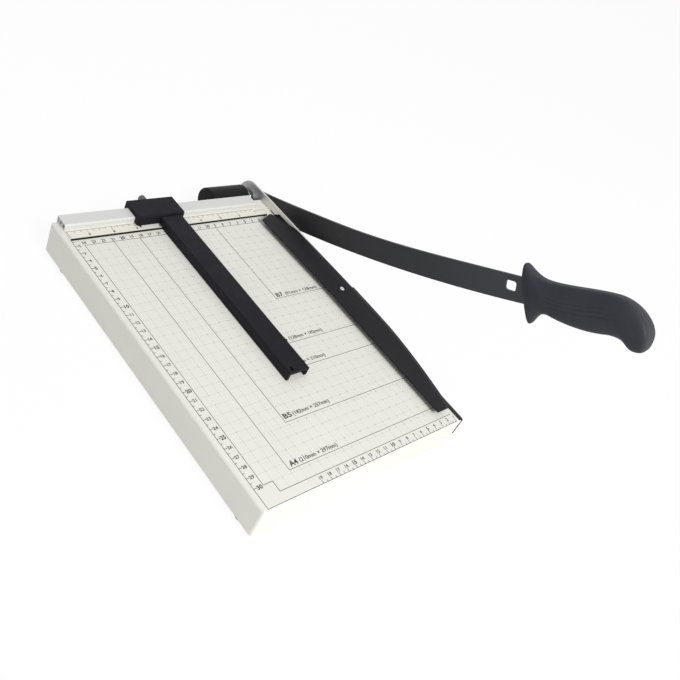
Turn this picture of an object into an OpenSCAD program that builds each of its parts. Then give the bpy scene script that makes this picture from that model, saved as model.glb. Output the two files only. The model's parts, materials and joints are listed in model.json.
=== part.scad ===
// Lever paper cutter with a folded steel base, a back fence with a sliding gauge, a finger guard
// and a curved swinging blade. Millimetres, +Z up.
// Shapes are drawn in the bench frame: X = 0 is the cutting line, Y = 0 the zero line of the board's
// print beside the fence, Z = 0 the top of the board, and the front edge lies towards -Y.
// place() then moves them so that the origin is the middle of the whole object on the table.

/* [Base] */
// Width from the left wall to the cutting line
base_w = 255; // [245:1:300]
// Front face, in front of the zero line
base_front = 323; // [318:1:345]
// Back face, behind the zero line
base_back = 22.5; // [22:0.5:26]
// Height of the folded tray
base_h = 32; // [31:0.5:40]
// Sheet thickness of the tray
sheet_t = 1.2; // [1:0.1:1.6]
// Outer radius of the folded edges
bend_r = 2.5; // [2:0.5:4]
// Width of the flange turned in along the lower edge
return_w = 15; // [14:1:20]
// Radius of a rubber foot
foot_r = 8; // [7:0.5:9]
// How far the feet stand below the tray
foot_drop = 4; // [3.5:0.5:7]
// Foot centre from the side walls
foot_side = 9; // [9:0.5:10]
// Foot centre from the front face
foot_front = 20; // [14:1:40]
// Foot centre from the back face
foot_back = 30; // [28:1:50]

/* [Bed knife] */
// Thickness of the knife's steel
knife_t = 2.5; // [2.2:0.1:3]
// Height of the knife
knife_h = 20; // [18:0.5:24]
// How far the knife runs behind the zero line
knife_back = 1; // [0:0.5:3]

/* [Fence] */
// Depth of the raised rail
rail_d = 15; // [14:0.5:16]
// Height of the raised rail
rail_h = 7; // [6.5:0.25:9]
// Depth of the thin lip in front of the rail
lip_d = 12.5; // [11:0.5:13]
// Thickness of the lip and of the rail's walls
rail_wall = 1.2; // [1:0.1:1.4]
// Rail's left end, in from the left wall
rail_left = 5.5; // [4:0.5:10]
// Rail's right end, in from the cutting line
rail_right = 22; // [20:0.5:30]
// How far the lip runs on past the rail's right end
lip_over = 8; // [0:0.5:10]
// Depth of the dark stop strip along the lip's front edge
strip_d = 1.2; // [1:0.1:1.6]
// Height of the stop strip
strip_h = 1.5; // [1.2:0.1:1.5]

/* [Pivot] */
// Pivot axis behind the back face
pivot_back = 17; // [16.8:0.1:20]
// Pivot axis below the board
pivot_drop = 10.4; // [9.5:0.1:10.8]
// Radius of the pivot plate's round end
ear_r = 18.5; // [16.5:0.5:19]
// Thickness of the pivot plate
plate_t = 2.2; // [2:0.1:2.4]
// Shaft diameter
shaft_d = 8; // [7:0.5:9]
// Outer radius of the pivot housing
housing_r = 15; // [14.5:0.5:16]
// Length of the pivot housing
housing_l = 50; // [44:1:56]
// Space for the pressure spring between plate and housing
spring_room = 11; // [10.5:0.5:13]
// Mean coil radius of the pressure spring
coil_r = 8; // [7.5:0.25:8.5]
// Wire diameter of the pressure spring
wire_d = 1.4; // [1.2:0.1:1.5]
// Turns of the pressure spring
coil_turns = 2; // [1.5:0.5:2]

/* [Finger guard] */
// Paper gap under the guard
guard_gap = 5; // [4.8:0.1:5.4]
// Inner edge of the guard, in from the cutting line
guard_w = 29; // [26:0.5:32]
// Height of the guard's crest over its underside
guard_h = 7; // [6.8:0.1:9]
// Height of the guard's inner edge
guard_edge = 1.5; // [1.2:0.1:2.5]
// Fall of the crest towards the two ends
guard_fall = 4.2; // [3:0.2:5]
// Back end of the guard, in front of the zero line
guard_start = 12; // [9:0.5:15]
// Front end of the guard, in front of the zero line
guard_end = 308; // [296:1:312]
// Guard screw, in front of the zero line
guard_screw_y = 139; // [120:1:160]
// Guard screw, in from the cutting line
guard_screw_x = 14; // [12:0.5:16]

/* [Gauge] */
// Stop edge of the gauge arm, in from the cutting line
gauge_x = 126.8; // [90:0.1:195]
// Width of the gauge arm
arm_w = 24.8; // [21:0.1:27]
// Height of the gauge arm over the board
arm_top = 10; // [9:0.25:11]
// Front end of the gauge arm, in front of the zero line
arm_end = 219; // [150:1:280]
// Wall of the gauge arm's top
arm_wall = 3.4; // [3:0.1:4]
// Width of each leg of the gauge arm
arm_leg = 3; // [2.5:0.25:5]
// Length of the saddle along the rail
saddle_w = 53.3; // [46:0.1:60]
// Height of the saddle over the board
saddle_top = 12; // [11.5:0.25:14]
// Thickness of the saddle's back leg
saddle_back = 5.4; // [5:0.1:7]
// Knob radius of the thumb screw
knob_r = 3.8; // [3.5:0.1:5]
// Knob length of the thumb screw
knob_l = 10; // [6:0.5:12]

/* [Blade] */
// Raised angle of the blade as it stands open
rest_angle = 26.5; // [10:0.5:60]
// Thickness of the blade
blade_t = 3; // [2.6:0.1:3.4]
// Length from pivot to handle
blade_l = 366; // [362:1:400]
// Radius of the blade's round end
blade_eye = 14; // [12:0.5:15]
// Depth of the blade's belly under the pivot line
blade_belly = 27.1; // [25:0.1:30]
// Radius of the cutting edge's curve
edge_r = 1900; // [1600:10:2200]
// Width of the ground bevel
bevel_w = 6; // [4:0.5:8]
// Thickness left at the cutting edge
edge_t = 0.5; // [0.4:0.1:1]
// Hanging hole, along the blade
hole_w = 11; // [9:0.5:12]
// Hanging hole, across the blade
hole_h = 9; // [8:0.5:10]

/* [Handle] */
// Half thickness of the grip
grip_t = 11; // [10:0.25:13]
// Length of the grip behind the blade's shoulder
grip_l = 119.4; // [112:0.2:140]
// Length of the blade's tang inside the grip
tang_l = 74; // [68:1:80]
// Height of the tang
tang_h = 15; // [12:0.5:16]

/* [Hidden] */
$fn = 64;

// Clearances
flat_gap = 0.1;
run_gap = 0.3;
shaft_gap = 0.05;
thread_gap = 0.05;
deep = 1;
// Depth of a countersunk head under its face
sunk = 0.1;

// Tray walls
wall_x = -knife_t;
tray_in = wall_x - sheet_t;
floor_z = -base_h;
foot_z = -base_h - foot_drop;
foot_xs = [-base_w + foot_side, wall_x - foot_side];
foot_ys = [-base_front + foot_front, base_back - foot_back];

// Fasteners: radius of shank, radius of head, height of a raised head
m4 = [2, 3.6, 2.4];
m5 = [2.4, 4.4];
nut_r = 4;
nut_t = 2.8;

// Fence
rail_y0 = base_back - rail_d;
lip_y0 = rail_y0 - lip_d;
rail_x0 = -base_w + rail_left;
rail_x1 = -rail_right;
lip_x1 = rail_x1 + lip_over;
rail_web = 1.4;
rail_rooms = [0.43, 0.37, 0.2];
rail_room_d = rail_d - 2 * rail_wall - 2 * rail_web;
fence_screw_n = 4;
fence_screw_inset = 16;
fence_screw_y = rail_y0 + rail_wall + rail_web + rail_room_d * (rail_rooms[0] + rail_rooms[1] / 2);

// Pivot
pivot_y = base_back + pivot_back;
pivot_z = -pivot_drop;
plate_x = -run_gap - plate_t;
plate_top = pivot_z + ear_r;
plate_low = max(pivot_z - ear_r, floor_z + deep);
plate_front = knife_back + run_gap;
strip_low = guard_gap + run_gap;
strip_top = 9.1;
strip_rise_y = 8;
strip_end = -guard_screw_y - 1;
plate_nut_r = 4.6;
plate_screw_ys = [plate_front + 6, base_back - sheet_t - plate_nut_r - 1.5];
plate_screw_zs = [-bend_r - plate_nut_r - 1, floor_z + sheet_t + plate_nut_r + 3.5];
housing_x1 = plate_x - spring_room;
housing_x0 = housing_x1 - housing_l;
housing_wall = 3;
cap_t = 3.5;
flange_t = 4;
flange_lift = 2.5;
flange_h = 10;
flange_ear = 12;
flange_drop = 1;
bolt_inset = 5.5;
flange_z = [floor_z + flange_lift, floor_z + flange_lift + flange_h];
flange_x = [housing_x0 - flange_ear, plate_x - flange_lift];
housing_bolts = [
    [flange_x[0] + bolt_inset, flange_z[0] + bolt_inset],
    [flange_x[0] + bolt_inset, -flange_drop - bolt_inset],
    [flange_x[1] - bolt_inset, flange_z[0] + bolt_inset]
];
washer_t = 1.6;
washer_r = 11;
head_t = 5.3;
head_r = 7.5;
shaft_nut_t = 8;
shaft_end = housing_x1 - housing_wall - washer_t - shaft_nut_t - 6;

// Guard
guard_top = guard_gap + guard_h;
guard_mid = -(guard_start + guard_end) / 2;
guard_half = (guard_end - guard_start) / 2;
guard_out = -0.8;
guard_land = 4.6;
guard_land_drop = 0.5;
guard_in_back = 14.4;
guard_in_front = 11.5;
guard_taper_back = 40;
guard_flare = 3.3;
guard_flare_l = 110;
guard_taper_front = 108;
tab_l = 15;
tab_w = 19;
tab_t = 2.2;
guard_seat_z = guard_gap + guard_h - 3.4;

// Gauge
gauge_x1 = -gauge_x;
gauge_x0 = gauge_x1 - arm_w;
saddle_x1 = gauge_x1 + 3.6;
saddle_x0 = saddle_x1 - saddle_w;
saddle_y1 = base_back + run_gap + saddle_back;
saddle_y0 = lip_y0 + 6;
saddle_front = rail_y0 - run_gap;
saddle_brow = saddle_front - 4.5;
saddle_low = rail_wall + run_gap;
tenon_l = 30;
tenon_side = 0.15;
arm_low = run_gap;
thumb_z = rail_h - 2;
thumb_off = 1.9;
thumb_x = (saddle_x0 + saddle_x1) / 2 - thumb_off;
thumb_d = 4;
gauge_screw_ys = [saddle_y0 - 9, saddle_y0 - 22];

// Blade, in its own frame: s runs from the pivot to the handle and t rises across the blade
blade_x = run_gap;
edge_s = 232;
shoulder_in = 9;
shoulder_s = blade_l + shoulder_in;
shoulder_top = 1.4;
hole_s = blade_l - 11;
hole_t = -9.5;
hole_corner = 2.5;
tang_t = -9;
tang_end = blade_l + tang_l;
grip_mid = blade_x + blade_t / 2;
grip_screw_first = 22;
grip_screw_step = 21;
grip_screw_s = [for (i = [0:2]) blade_l + grip_screw_first + grip_screw_step * i];
grip_screw = [2, 3.6, 3];

// Grip outline as joined curves of four points each, [s, t] from the blade's shoulder
grip_drawn = 119.4;
gl = grip_l / grip_drawn;
grip_upper = [
    [[-1.2, 7], [-0.8, 24.4], [3, 4.6], [24, 5]],
    [[24, 5], [40, 4.8], [70, 9.8], [87, 9.4]],
    [[87, 9.4], [104, 9], [119.2, -4], [119.4, -17]]
];
grip_lower = [
    [[9, -28], [14.4, -53], [20, -24], [30, -24.6]],
    [[30, -24.6], [42, -25], [64, -28], [86, -24.6]],
    [[86, -24.6], [107, -22.6], [100.5, -32.6], [112, -31.2]],
    [[112, -31.2], [119, -30.6], [119.4, -25], [119.4, -17.6]]
];

// A point on a curve of four control points
function curve(c, u) =
    pow(1 - u, 3) * c[0] + 3 * u * pow(1 - u, 2) * c[1] + 3 * u * u * (1 - u) * c[2] + u * u * u * c[3];
// A point at share u of a chain of curves
function chain(cs, u) =
    let (k = min(floor(u * len(cs)), len(cs) - 1))
    curve(cs[k], u * len(cs) - k);
function grip_point(cs, u) = let (p = chain(cs, u)) [blade_l + p[0] * gl, p[1]];

// Reach of the whole object at rest, and the origin in the bench frame
function rest_y(p) = pivot_y - p[0] * cos(rest_angle) + p[1] * sin(rest_angle);
reach_steps = 60;
grip_reach = min([
    for (outline = [grip_upper, grip_lower]) for (i = [0:reach_steps])
        rest_y(grip_point(outline, i / reach_steps))
]);
reach_front = min(grip_reach, -base_front);
reach_back = pivot_y + ear_r;
reach_right = grip_mid + grip_t;
origin = [(reach_right - base_w) / 2, (reach_front + reach_back) / 2, foot_z];

// Points of the pressure spring's centre line
spring_x0 = housing_x1 + washer_t + wire_d + 2 * flat_gap;
spring_x1 = plate_x - washer_t - wire_d - 2 * flat_gap;
spring_steps = round(8 * coil_turns);
function coil(i) = [
    spring_x0 + (spring_x1 - spring_x0) * i / spring_steps,
    pivot_y + coil_r * cos(360 * coil_turns * i / spring_steps),
    pivot_z + coil_r * sin(360 * coil_turns * i / spring_steps)
];
spring_path = concat(
    [coil(0) - [wire_d, 0, 0]],
    [for (i = [0:spring_steps]) coil(i)],
    [coil(spring_steps) + [wire_d, 0, 0]]
);
// Least gap between points of the spring half a turn or more apart
spring_gap = min([
    for (i = [0:len(spring_path) - 1]) for (j = [i + 5:1:len(spring_path) - 1])
        norm(spring_path[i] - spring_path[j]) - wire_d
]);
echo(spring_gap = spring_gap);
echo(origin = origin, pivot = [0, pivot_y, pivot_z] - origin);
echo(thumb = [thumb_x, saddle_y1, thumb_z] - origin, foot = [foot_xs[0], foot_ys[0], foot_z] - origin);
echo(gauge_left = rail_x0 - saddle_x0, gauge_right = flange_x[0] - saddle_x1);

// Moves the bench frame to the object's own frame
module place() {
    translate(-origin) children();
}
// A plate whose flat outline is drawn in (Y, Z), from x over thickness t
module side_plate(x, t) {
    translate([x, 0, 0]) rotate([90, 0, 90]) linear_extrude(t) children();
}
// A length whose section is drawn in (X, Z), from y0 to y1
module run_y(y0, y1) {
    translate([0, y1, 0]) rotate([90, 0, 0]) linear_extrude(y1 - y0) children();
}
// A round bar along X from x0 to x1
module rod_x(x0, x1, r, y, z) {
    translate([x0, y, z]) rotate([0, 90, 0]) cylinder(h = x1 - x0, r = r);
}
// A round bar along Y from y0 to y1
module rod_y(y0, y1, r, x, z) {
    translate([x, y1, z]) rotate([90, 0, 0]) cylinder(h = y1 - y0, r = r);
}
// A box between two corners
module block(a, b) {
    translate(a) cube(b - a);
}
// The blade's frame at rest
module on_blade() {
    translate([0, pivot_y, pivot_z]) rotate([-rest_angle, 0, 0]) children();
}
// A rectangle in the plane with two rounded upper corners
module topped(x0, x1, z0, z1, r) {
    translate([x0, z0]) square([x1 - x0, z1 - z0 - r]);
    translate([x0 + r, z0]) square([x1 - x0 - 2 * r, z1 - z0]);
    for (x = [x0 + r, x1 - r]) translate([x, z1 - r]) circle(r);
}
// A rectangle in the plane with four rounded corners
module rounded(x0, x1, y0, y1, r) {
    translate([x0 + r, y0]) square([x1 - x0 - 2 * r, y1 - y0]);
    translate([x0, y0 + r]) square([x1 - x0, y1 - y0 - 2 * r]);
    for (x = [x0 + r, x1 - r], y = [y0 + r, y1 - r]) translate([x, y]) circle(r);
}

// The tray's outer body, with its folded edges rounded
module tray_body() {
    intersection() {
        run_y(-base_front, base_back) topped(-base_w, wall_x, floor_z, 0, bend_r);
        side_plate(-base_w - deep, base_w + 2 * deep)
            topped(-base_front, base_back, floor_z - deep, 0, bend_r);
        translate([0, 0, floor_z - deep]) linear_extrude(base_h + 2 * deep)
            rounded(-base_w, wall_x, -base_front, base_back, bend_r);
    }
}

// Folded base: one sheet, kept as its deck, its walls and the flange turned in under them. These part at the
// walls' inner faces and are mitred at the corners, so that each is a plain form
mitre_gap = 0.1;
room_low = [-base_w + sheet_t, -base_front + sheet_t];
room_high = [tray_in, base_back - sheet_t];
// The sides of a rectangle, each as its first corner, the way along it, the way inwards and its length
function sides(low, high) = [
    [low, [1, 0], [0, 1], high[0] - low[0]],
    [[high[0], low[1]], [0, 1], [-1, 0], high[1] - low[1]],
    [high, [-1, 0], [0, -1], high[0] - low[0]],
    [[low[0], high[1]], [0, -1], [1, 0], high[1] - low[1]]
];
// Plan of one side, mitred at both ends, from out outside its line to w inside it
module mitred(side, out, w) {
    a = side[0] + side[1] * mitre_gap / 2;
    b = side[0] + side[1] * (side[3] - mitre_gap / 2);
    polygon([
        a - (side[2] + side[1]) * out, b - (side[2] - side[1]) * out,
        b + (side[2] - side[1]) * w, a + (side[2] + side[1]) * w
    ]);
}
// The outer body less all that lies inside the walls
module tray_shell() {
    difference() {
        tray_body();
        block([room_low[0], room_low[1], floor_z - deep], [room_high[0], room_high[1], deep]);
    }
}
module base_tray() {
    color("#E4E3DC") place() difference() {
        intersection() {
            tray_body();
            block([room_low[0], room_low[1], -sheet_t], [room_high[0], room_high[1], deep]);
        }
        for (x = fence_screw_xs)
            translate([x, fence_screw_y, -sheet_t - deep])
                cylinder(h = sheet_t + 2 * deep, r = fence_screw_r + thread_gap);
    }
}
module base_walls() {
    color("#E2E1DA") place() difference() {
        for (side = sides([-base_w, -base_front], [wall_x, base_back])) intersection() {
            tray_shell();
            translate([0, 0, floor_z - deep]) linear_extrude(base_h + 2 * deep)
                mitred(side, deep, sheet_t + deep);
        }
        for (y = knife_screw_ys)
            rod_x(tray_in - deep, wall_x + deep, m4[0] + thread_gap, y, knife_screw_z);
        for (y = plate_screw_ys, z = plate_screw_zs)
            rod_x(tray_in - deep, wall_x + deep, m5[0] + thread_gap, y, z);
        for (b = housing_bolts)
            rod_y(base_back - sheet_t - deep, base_back + deep, m4[0] + thread_gap, b[0], b[1]);
    }
}
module base_returns() {
    color("#DDDCD5") place() difference() {
        translate([0, 0, floor_z]) linear_extrude(sheet_t)
            for (side = sides(room_low, room_high)) mitred(side, 0, return_w - sheet_t);
        for (x = foot_xs, y = foot_ys)
            translate([x, y, floor_z - deep]) cylinder(h = sheet_t + 2 * deep, r = m4[0] + thread_gap);
    }
}

// Feet
foot_taper = 1.2;
foot_bore = m4[1] + 0.4;
foot_seat = 1.4;
module rubber_feet() {
    color("#1C1C1D") place()
        for (x = foot_xs, y = foot_ys) translate([x, y, floor_z]) difference() {
            rotate_extrude() polygon([
                [0, 0], [foot_r, 0], [foot_r, -foot_drop / 2],
                [foot_r - foot_taper, -foot_drop], [0, -foot_drop]
            ]);
            translate([0, 0, -foot_drop - deep]) cylinder(h = foot_drop - foot_seat + deep, r = foot_bore);
            translate([0, 0, -foot_drop]) cylinder(h = foot_drop + deep, r = m4[0] + thread_gap);
        }
}
foot_screw_up = 5;
foot_head_t = 1.6;
module foot_screws() {
    color("#B9BABC") place()
        for (x = foot_xs, y = foot_ys) translate([x, y, floor_z - foot_seat]) {
            cylinder(h = foot_seat + sheet_t + foot_screw_up, r = m4[0]);
            translate([0, 0, -foot_head_t]) cylinder(h = foot_head_t, r = m4[1]);
        }
}
// A hexagon nut on its hole, standing up from the origin
module hex_nut(r, hole, t) {
    difference() {
        cylinder(h = t, r = r, $fn = 6);
        translate([0, 0, -deep]) cylinder(h = t + 2 * deep, r = hole + thread_gap);
    }
}
module foot_nuts() {
    color("#A9ABAE") place()
        for (x = foot_xs, y = foot_ys) translate([x, y, floor_z + sheet_t]) hex_nut(nut_r, m4[0], nut_t);
}

// Bed knife: a steel bar along the right wall whose upper outer corner is the fixed cutting edge
knife_screw_z = -knife_h / 2;
knife_screw_n = 4;
knife_screw_inset = 22;
knife_screw_ys = [
    for (i = [0:knife_screw_n - 1])
        -base_front + knife_screw_inset
            + (base_front - 2 * knife_screw_inset) * i / (knife_screw_n - 1)
];
// Corner cut off at the knife's front end, across and along the knife
knife_nose = [1.5, 3];
module bed_knife() {
    color("#2A2A2C") place() difference() {
        translate([0, 0, -knife_h]) linear_extrude(knife_h) polygon([
            [-knife_t, -base_front], [-knife_nose[0], -base_front], [0, -base_front + knife_nose[1]],
            [0, knife_back], [-knife_t, knife_back]
        ]);
        for (y = knife_screw_ys) countersink(0, y, knife_screw_z, m4, knife_t);
    }
}
// A countersunk hole through a wall of thickness t whose outer face is at x
module countersink(x, y, z, m, t) {
    rod_x(x - t - deep, x + deep, m[0] + thread_gap, y, z);
    rod_x(x - sunk, x + deep, m[1] + thread_gap, y, z);
    translate([x - sunk, y, z]) rotate([0, -90, 0])
        cylinder(h = m[1] - m[0], r1 = m[1] + thread_gap, r2 = m[0] + thread_gap);
}
// Countersunk screw just under the outer face at x, with its shank to x - l
module flush_screw(x, y, z, m, l) {
    rod_x(x - l, x - sunk, m[0], y, z);
    translate([x - sunk, y, z]) rotate([0, -90, 0]) cylinder(h = m[1] - m[0], r1 = m[1], r2 = m[0]);
}
module knife_screws() {
    color("#8E9093") place()
        for (y = knife_screw_ys) flush_screw(0, y, knife_screw_z, m4, knife_t + sheet_t + nut_t + deep);
}
module knife_nuts() {
    color("#A9ABAE") place()
        for (y = knife_screw_ys)
            translate([tray_in, y, knife_screw_z]) rotate([0, -90, 0]) hex_nut(nut_r, m4[0], nut_t);
}

// Fence: an extruded rail with three hollow rooms and a thin lip in front
fence_screw_r = 1.6;
fence_screw_head = [3.2, 2];
fence_screw_xs = [
    for (i = [0:fence_screw_n - 1])
        rail_x0 + fence_screw_inset
            + (rail_x1 - rail_x0 - 2 * fence_screw_inset) * i / (fence_screw_n - 1)
];
rail_room_ends = [0, rail_rooms[0], rail_rooms[0] + rail_rooms[1]];
module fence_rail() {
    color("#E2E2DB") place() difference() {
        union() {
            side_plate(rail_x0, rail_x1 - rail_x0) rail_section();
            block([rail_x0, lip_y0, 0], [lip_x1, rail_y0, rail_wall]);
        }
        for (x = fence_screw_xs)
            translate([x, fence_screw_y, -deep])
                cylinder(h = rail_wall + 2 * deep, r = fence_screw_r + thread_gap);
    }
}
// Section of the rail and its lip, in (Y, Z)
module rail_section() {
    difference() {
        polygon([
            [lip_y0, 0], [base_back, 0], [base_back, rail_h], [rail_y0 + rail_wall, rail_h],
            [rail_y0, rail_h - rail_wall], [rail_y0, rail_wall], [lip_y0, rail_wall]
        ]);
        for (i = [0:2])
            translate([rail_y0 + rail_wall + rail_room_d * rail_room_ends[i] + rail_web * i, rail_wall])
                square([rail_room_d * rail_rooms[i], rail_h - 2 * rail_wall]);
    }
}
module fence_strip() {
    color("#161617") place() block([rail_x0, lip_y0 - strip_d, 0], [lip_x1, lip_y0, strip_h]);
}
module fence_screws() {
    color("#B9BABC") place()
        for (x = fence_screw_xs) translate([x, fence_screw_y, -sheet_t]) {
            cylinder(h = sheet_t + rail_h - 2 * rail_wall, r = fence_screw_r);
            translate([0, 0, -fence_screw_head[1]])
                cylinder(h = fence_screw_head[1], r = fence_screw_head[0]);
        }
}

// Pivot plate: a bright flat plate with a round end at the pivot and a long strip that carries the guard
strip_fillet = 5;
module pivot_plate() {
    color("#C4C6C8") place() difference() {
        union() {
            side_plate(plate_x, plate_t) union() {
                polygon([
                    [plate_front, plate_low], [pivot_y, plate_low], [pivot_y, plate_top],
                    [strip_rise_y, strip_top], [plate_front, strip_top]
                ]);
                translate([pivot_y, pivot_z]) circle(ear_r);
                translate([strip_end, strip_low]) square([plate_front - strip_end, strip_top - strip_low]);
                difference() {
                    translate([plate_front - strip_fillet, strip_low - strip_fillet])
                        square([strip_fillet, strip_fillet]);
                    translate([plate_front - strip_fillet, strip_low - strip_fillet]) circle(strip_fillet);
                }
            }
            // Tab turned in under the guard
            block(
                [plate_x + plate_t - tab_w, strip_end, strip_low],
                [plate_x + plate_t, strip_end + tab_l / 2, strip_low + tab_t]
            );
            block(
                [plate_x + plate_t - tab_w, -guard_screw_y - tab_l / 2, strip_low],
                [plate_x - run_gap, -guard_screw_y + tab_l / 2, strip_low + tab_t]
            );
        }
        rod_x(plate_x - deep, deep, shaft_d / 2 + shaft_gap, pivot_y, pivot_z);
        for (y = plate_screw_ys, z = plate_screw_zs) countersink(-run_gap, y, z, m5, plate_t);
        translate([-guard_screw_x, -guard_screw_y, 0])
            cylinder(h = guard_top, r = guard_screw_r + thread_gap);
    }
}
module plate_screws() {
    color("#9FA1A4") place()
        for (y = plate_screw_ys, z = plate_screw_zs)
            flush_screw(-run_gap, y, z, m5, plate_t + sheet_t + nut_t + deep);
}
module plate_nuts() {
    color("#A9ABAE") place()
        for (y = plate_screw_ys, z = plate_screw_zs)
            translate([tray_in, y, z]) rotate([0, -90, 0]) hex_nut(plate_nut_r, m5[0], nut_t);
}

// Pivot housing: a closed barrel behind the base for the shaft's nut, on a flange at the back wall
saddle_z = 10;
module pivot_housing() {
    color("#1E1E20") place() difference() {
        union() {
            rod_x(housing_x0, housing_x1, housing_r, pivot_y, pivot_z);
            block([housing_x0, base_back, pivot_z - saddle_z], [housing_x1, pivot_y, pivot_z + saddle_z]);
            block([flange_x[0], base_back, flange_z[0]], [flange_x[1], base_back + flange_t, flange_z[1]]);
            block(
                [flange_x[0], base_back, flange_z[0]],
                [housing_x0 + deep, base_back + flange_t, -flange_drop]
            );
        }
        rod_x(housing_x0 - deep, housing_x1 - housing_wall, housing_r - housing_wall, pivot_y, pivot_z);
        rod_x(housing_x0, housing_x1 + deep, shaft_d / 2 + shaft_gap, pivot_y, pivot_z);
        for (b = housing_bolts)
            rod_y(base_back - deep, base_back + flange_t + deep, m4[0] + thread_gap, b[0], b[1]);
    }
}
cap_edge = 1.5;
module housing_cap() {
    color("#232325") place() difference() {
        union() {
            rod_x(housing_x0, housing_x0 + cap_t, housing_r - housing_wall - flat_gap, pivot_y, pivot_z);
            translate([housing_x0 - cap_edge, pivot_y, pivot_z]) rotate([0, 90, 0])
                cylinder(h = cap_edge, r1 = housing_r - cap_edge, r2 = housing_r);
        }
        // Keeps the cap clear of the flange beside the back wall
        block(
            [housing_x0 - 2 * cap_edge, base_back, pivot_z - housing_r],
            [housing_x0 + deep, base_back + flange_t + flat_gap, pivot_z + housing_r]
        );
    }
}
module housing_screws() {
    color("#3A3A3C") place()
        for (b = housing_bolts) {
            rod_y(base_back - sheet_t - nut_t - deep, base_back + flange_t, m4[0], b[0], b[1]);
            rod_y(base_back + flange_t, base_back + flange_t + m4[2], m4[1], b[0], b[1]);
        }
}
module housing_nuts() {
    color("#A9ABAE") place()
        for (b = housing_bolts)
            translate([b[0], base_back - sheet_t, b[1]]) rotate([90, 0, 0]) hex_nut(nut_r, m4[0], nut_t);
}

// Shaft, washers, pressure spring and nut
shaft_x1 = blade_x + blade_t + run_gap + washer_t;
module pivot_shaft() {
    color("#B4B6B8") place() {
        rod_x(shaft_end, shaft_x1, shaft_d / 2, pivot_y, pivot_z);
        translate([shaft_x1, pivot_y, pivot_z]) rotate([0, 90, 0]) cylinder(h = head_t, r = head_r, $fn = 6);
    }
}
module washer(x, r) {
    difference() {
        rod_x(x, x + washer_t, r, pivot_y, pivot_z);
        rod_x(x - deep, x + washer_t + deep, shaft_d / 2 + shaft_gap, pivot_y, pivot_z);
    }
}
module shaft_washers() {
    color("#C9CBCD") place() {
        washer(shaft_x1 - washer_t, washer_r - 1);
        washer(plate_x - washer_t, washer_r);
        washer(housing_x1, washer_r);
        washer(housing_x1 - housing_wall - washer_t, washer_r);
    }
}
// A tube of n sides swept along a list of points, each ring square to the path there
function unit(v) = v / norm(v);
function tangent(p, i) = unit(p[min(i + 1, len(p) - 1)] - p[max(i - 1, 0)]);
function ring(p, i, r, n) =
    let (
        t = tangent(p, i),
        a = unit(cross(t, [t[2] * 0.3, 0.2, 1])),
        b = cross(t, a)
    )
    [for (k = [0:n - 1]) p[i] + r * (a * cos(360 * k / n) + b * sin(360 * k / n))];
module tube(p, r, n) {
    m = len(p);
    polyhedron(
        points = [for (i = [0:m - 1]) each ring(p, i, r, n)],
        faces = concat(
            [for (k = [1:n - 2]) [0, k, k + 1]],
            [for (k = [1:n - 2]) [(m - 1) * n, (m - 1) * n + k + 1, (m - 1) * n + k]],
            [
                for (i = [0:m - 2]) for (k = [0:n - 1])
                    let (a = i * n + k, b = i * n + (k + 1) % n)
                    each [[a, a + n, b], [b, a + n, b + n]]
            ]
        )
    );
}
module pressure_spring() {
    color("#D2D4D6") place() tube(spring_path, wire_d / 2, 6);
}
module shaft_nut() {
    color("#A9ABAE") place()
        translate([housing_x1 - housing_wall - washer_t, pivot_y, pivot_z]) rotate([0, -90, 0])
            hex_nut(head_r, shaft_d / 2, shaft_nut_t);
}

// Finger guard: a wedge whose crest is an arch and whose crest and outer edge draw in towards both ends
guard_screw_r = 1.5;
guard_head = [2.7, 1.6];
function guard_edge_x(y) =
    let (
        back = max(0, 1 - (-guard_start - y) / guard_taper_back),
        front = max(0, 1 - (y + guard_end) / guard_taper_front)
    )
    guard_out - guard_in_back * pow(back, 1.2) - guard_in_front * pow(front, 1.5);
function guard_crest(y) = guard_top - guard_fall * pow((y - guard_mid) / guard_half, 2);
// Inner edge, wider towards the back
function guard_inner_x(y) = -guard_w - guard_flare * max(0, 1 - (-guard_start - y) / guard_flare_l);
function guard_section(y) =
    let (x = guard_edge_x(y), inner = guard_inner_x(y), z = guard_crest(y))
    [
        [inner, y, guard_gap], [x, y, guard_gap], [x, y, z - guard_land_drop], [x - guard_land, y, z],
        [inner, y, guard_gap + guard_edge]
    ];
guard_corner = [[-15, -11], [-34, -19], [-40, -19], [-40, -5], [-15, -5]];
guard_steps = 48;
module guard_body() {
    n = guard_steps;
    sections = [for (i = [0:n]) guard_section(-guard_end + (guard_end - guard_start) * i / n)];
    m = len(sections[0]);
    polyhedron(
        points = [for (s = sections) each s],
        faces = concat(
            [[for (k = [0:m - 1]) m - 1 - k], [for (k = [0:m - 1]) n * m + k]],
            [
                for (i = [0:n - 1]) for (k = [0:m - 1])
                    let (a = i * m + k, b = i * m + (k + 1) % m)
                    each [[a, b, b + m], [a, b + m, a + m]]
            ]
        )
    );
}
module finger_guard() {
    color("#29292B") place() difference() {
        guard_body();
        // Recess for the plate's strip along the back half, with a slit at its end
        block([plate_x - run_gap, strip_end - 2, 0], [deep, 0, guard_top + deep]);
        // Back inner corner cut off
        linear_extrude(guard_top + deep) polygon(guard_corner);
        // Pocket for the plate's tab
        block(
            [plate_x + plate_t - tab_w - run_gap, -guard_screw_y - tab_l / 2 - run_gap, 0],
            [deep, -guard_screw_y + tab_l / 2 + run_gap, strip_low + tab_t + flat_gap]
        );
        translate([-guard_screw_x, -guard_screw_y, 0])
            cylinder(h = guard_top, r = guard_screw_r + thread_gap);
        translate([-guard_screw_x, -guard_screw_y, guard_seat_z])
            cylinder(h = guard_top, r = guard_head[0] + run_gap);
    }
}
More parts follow.
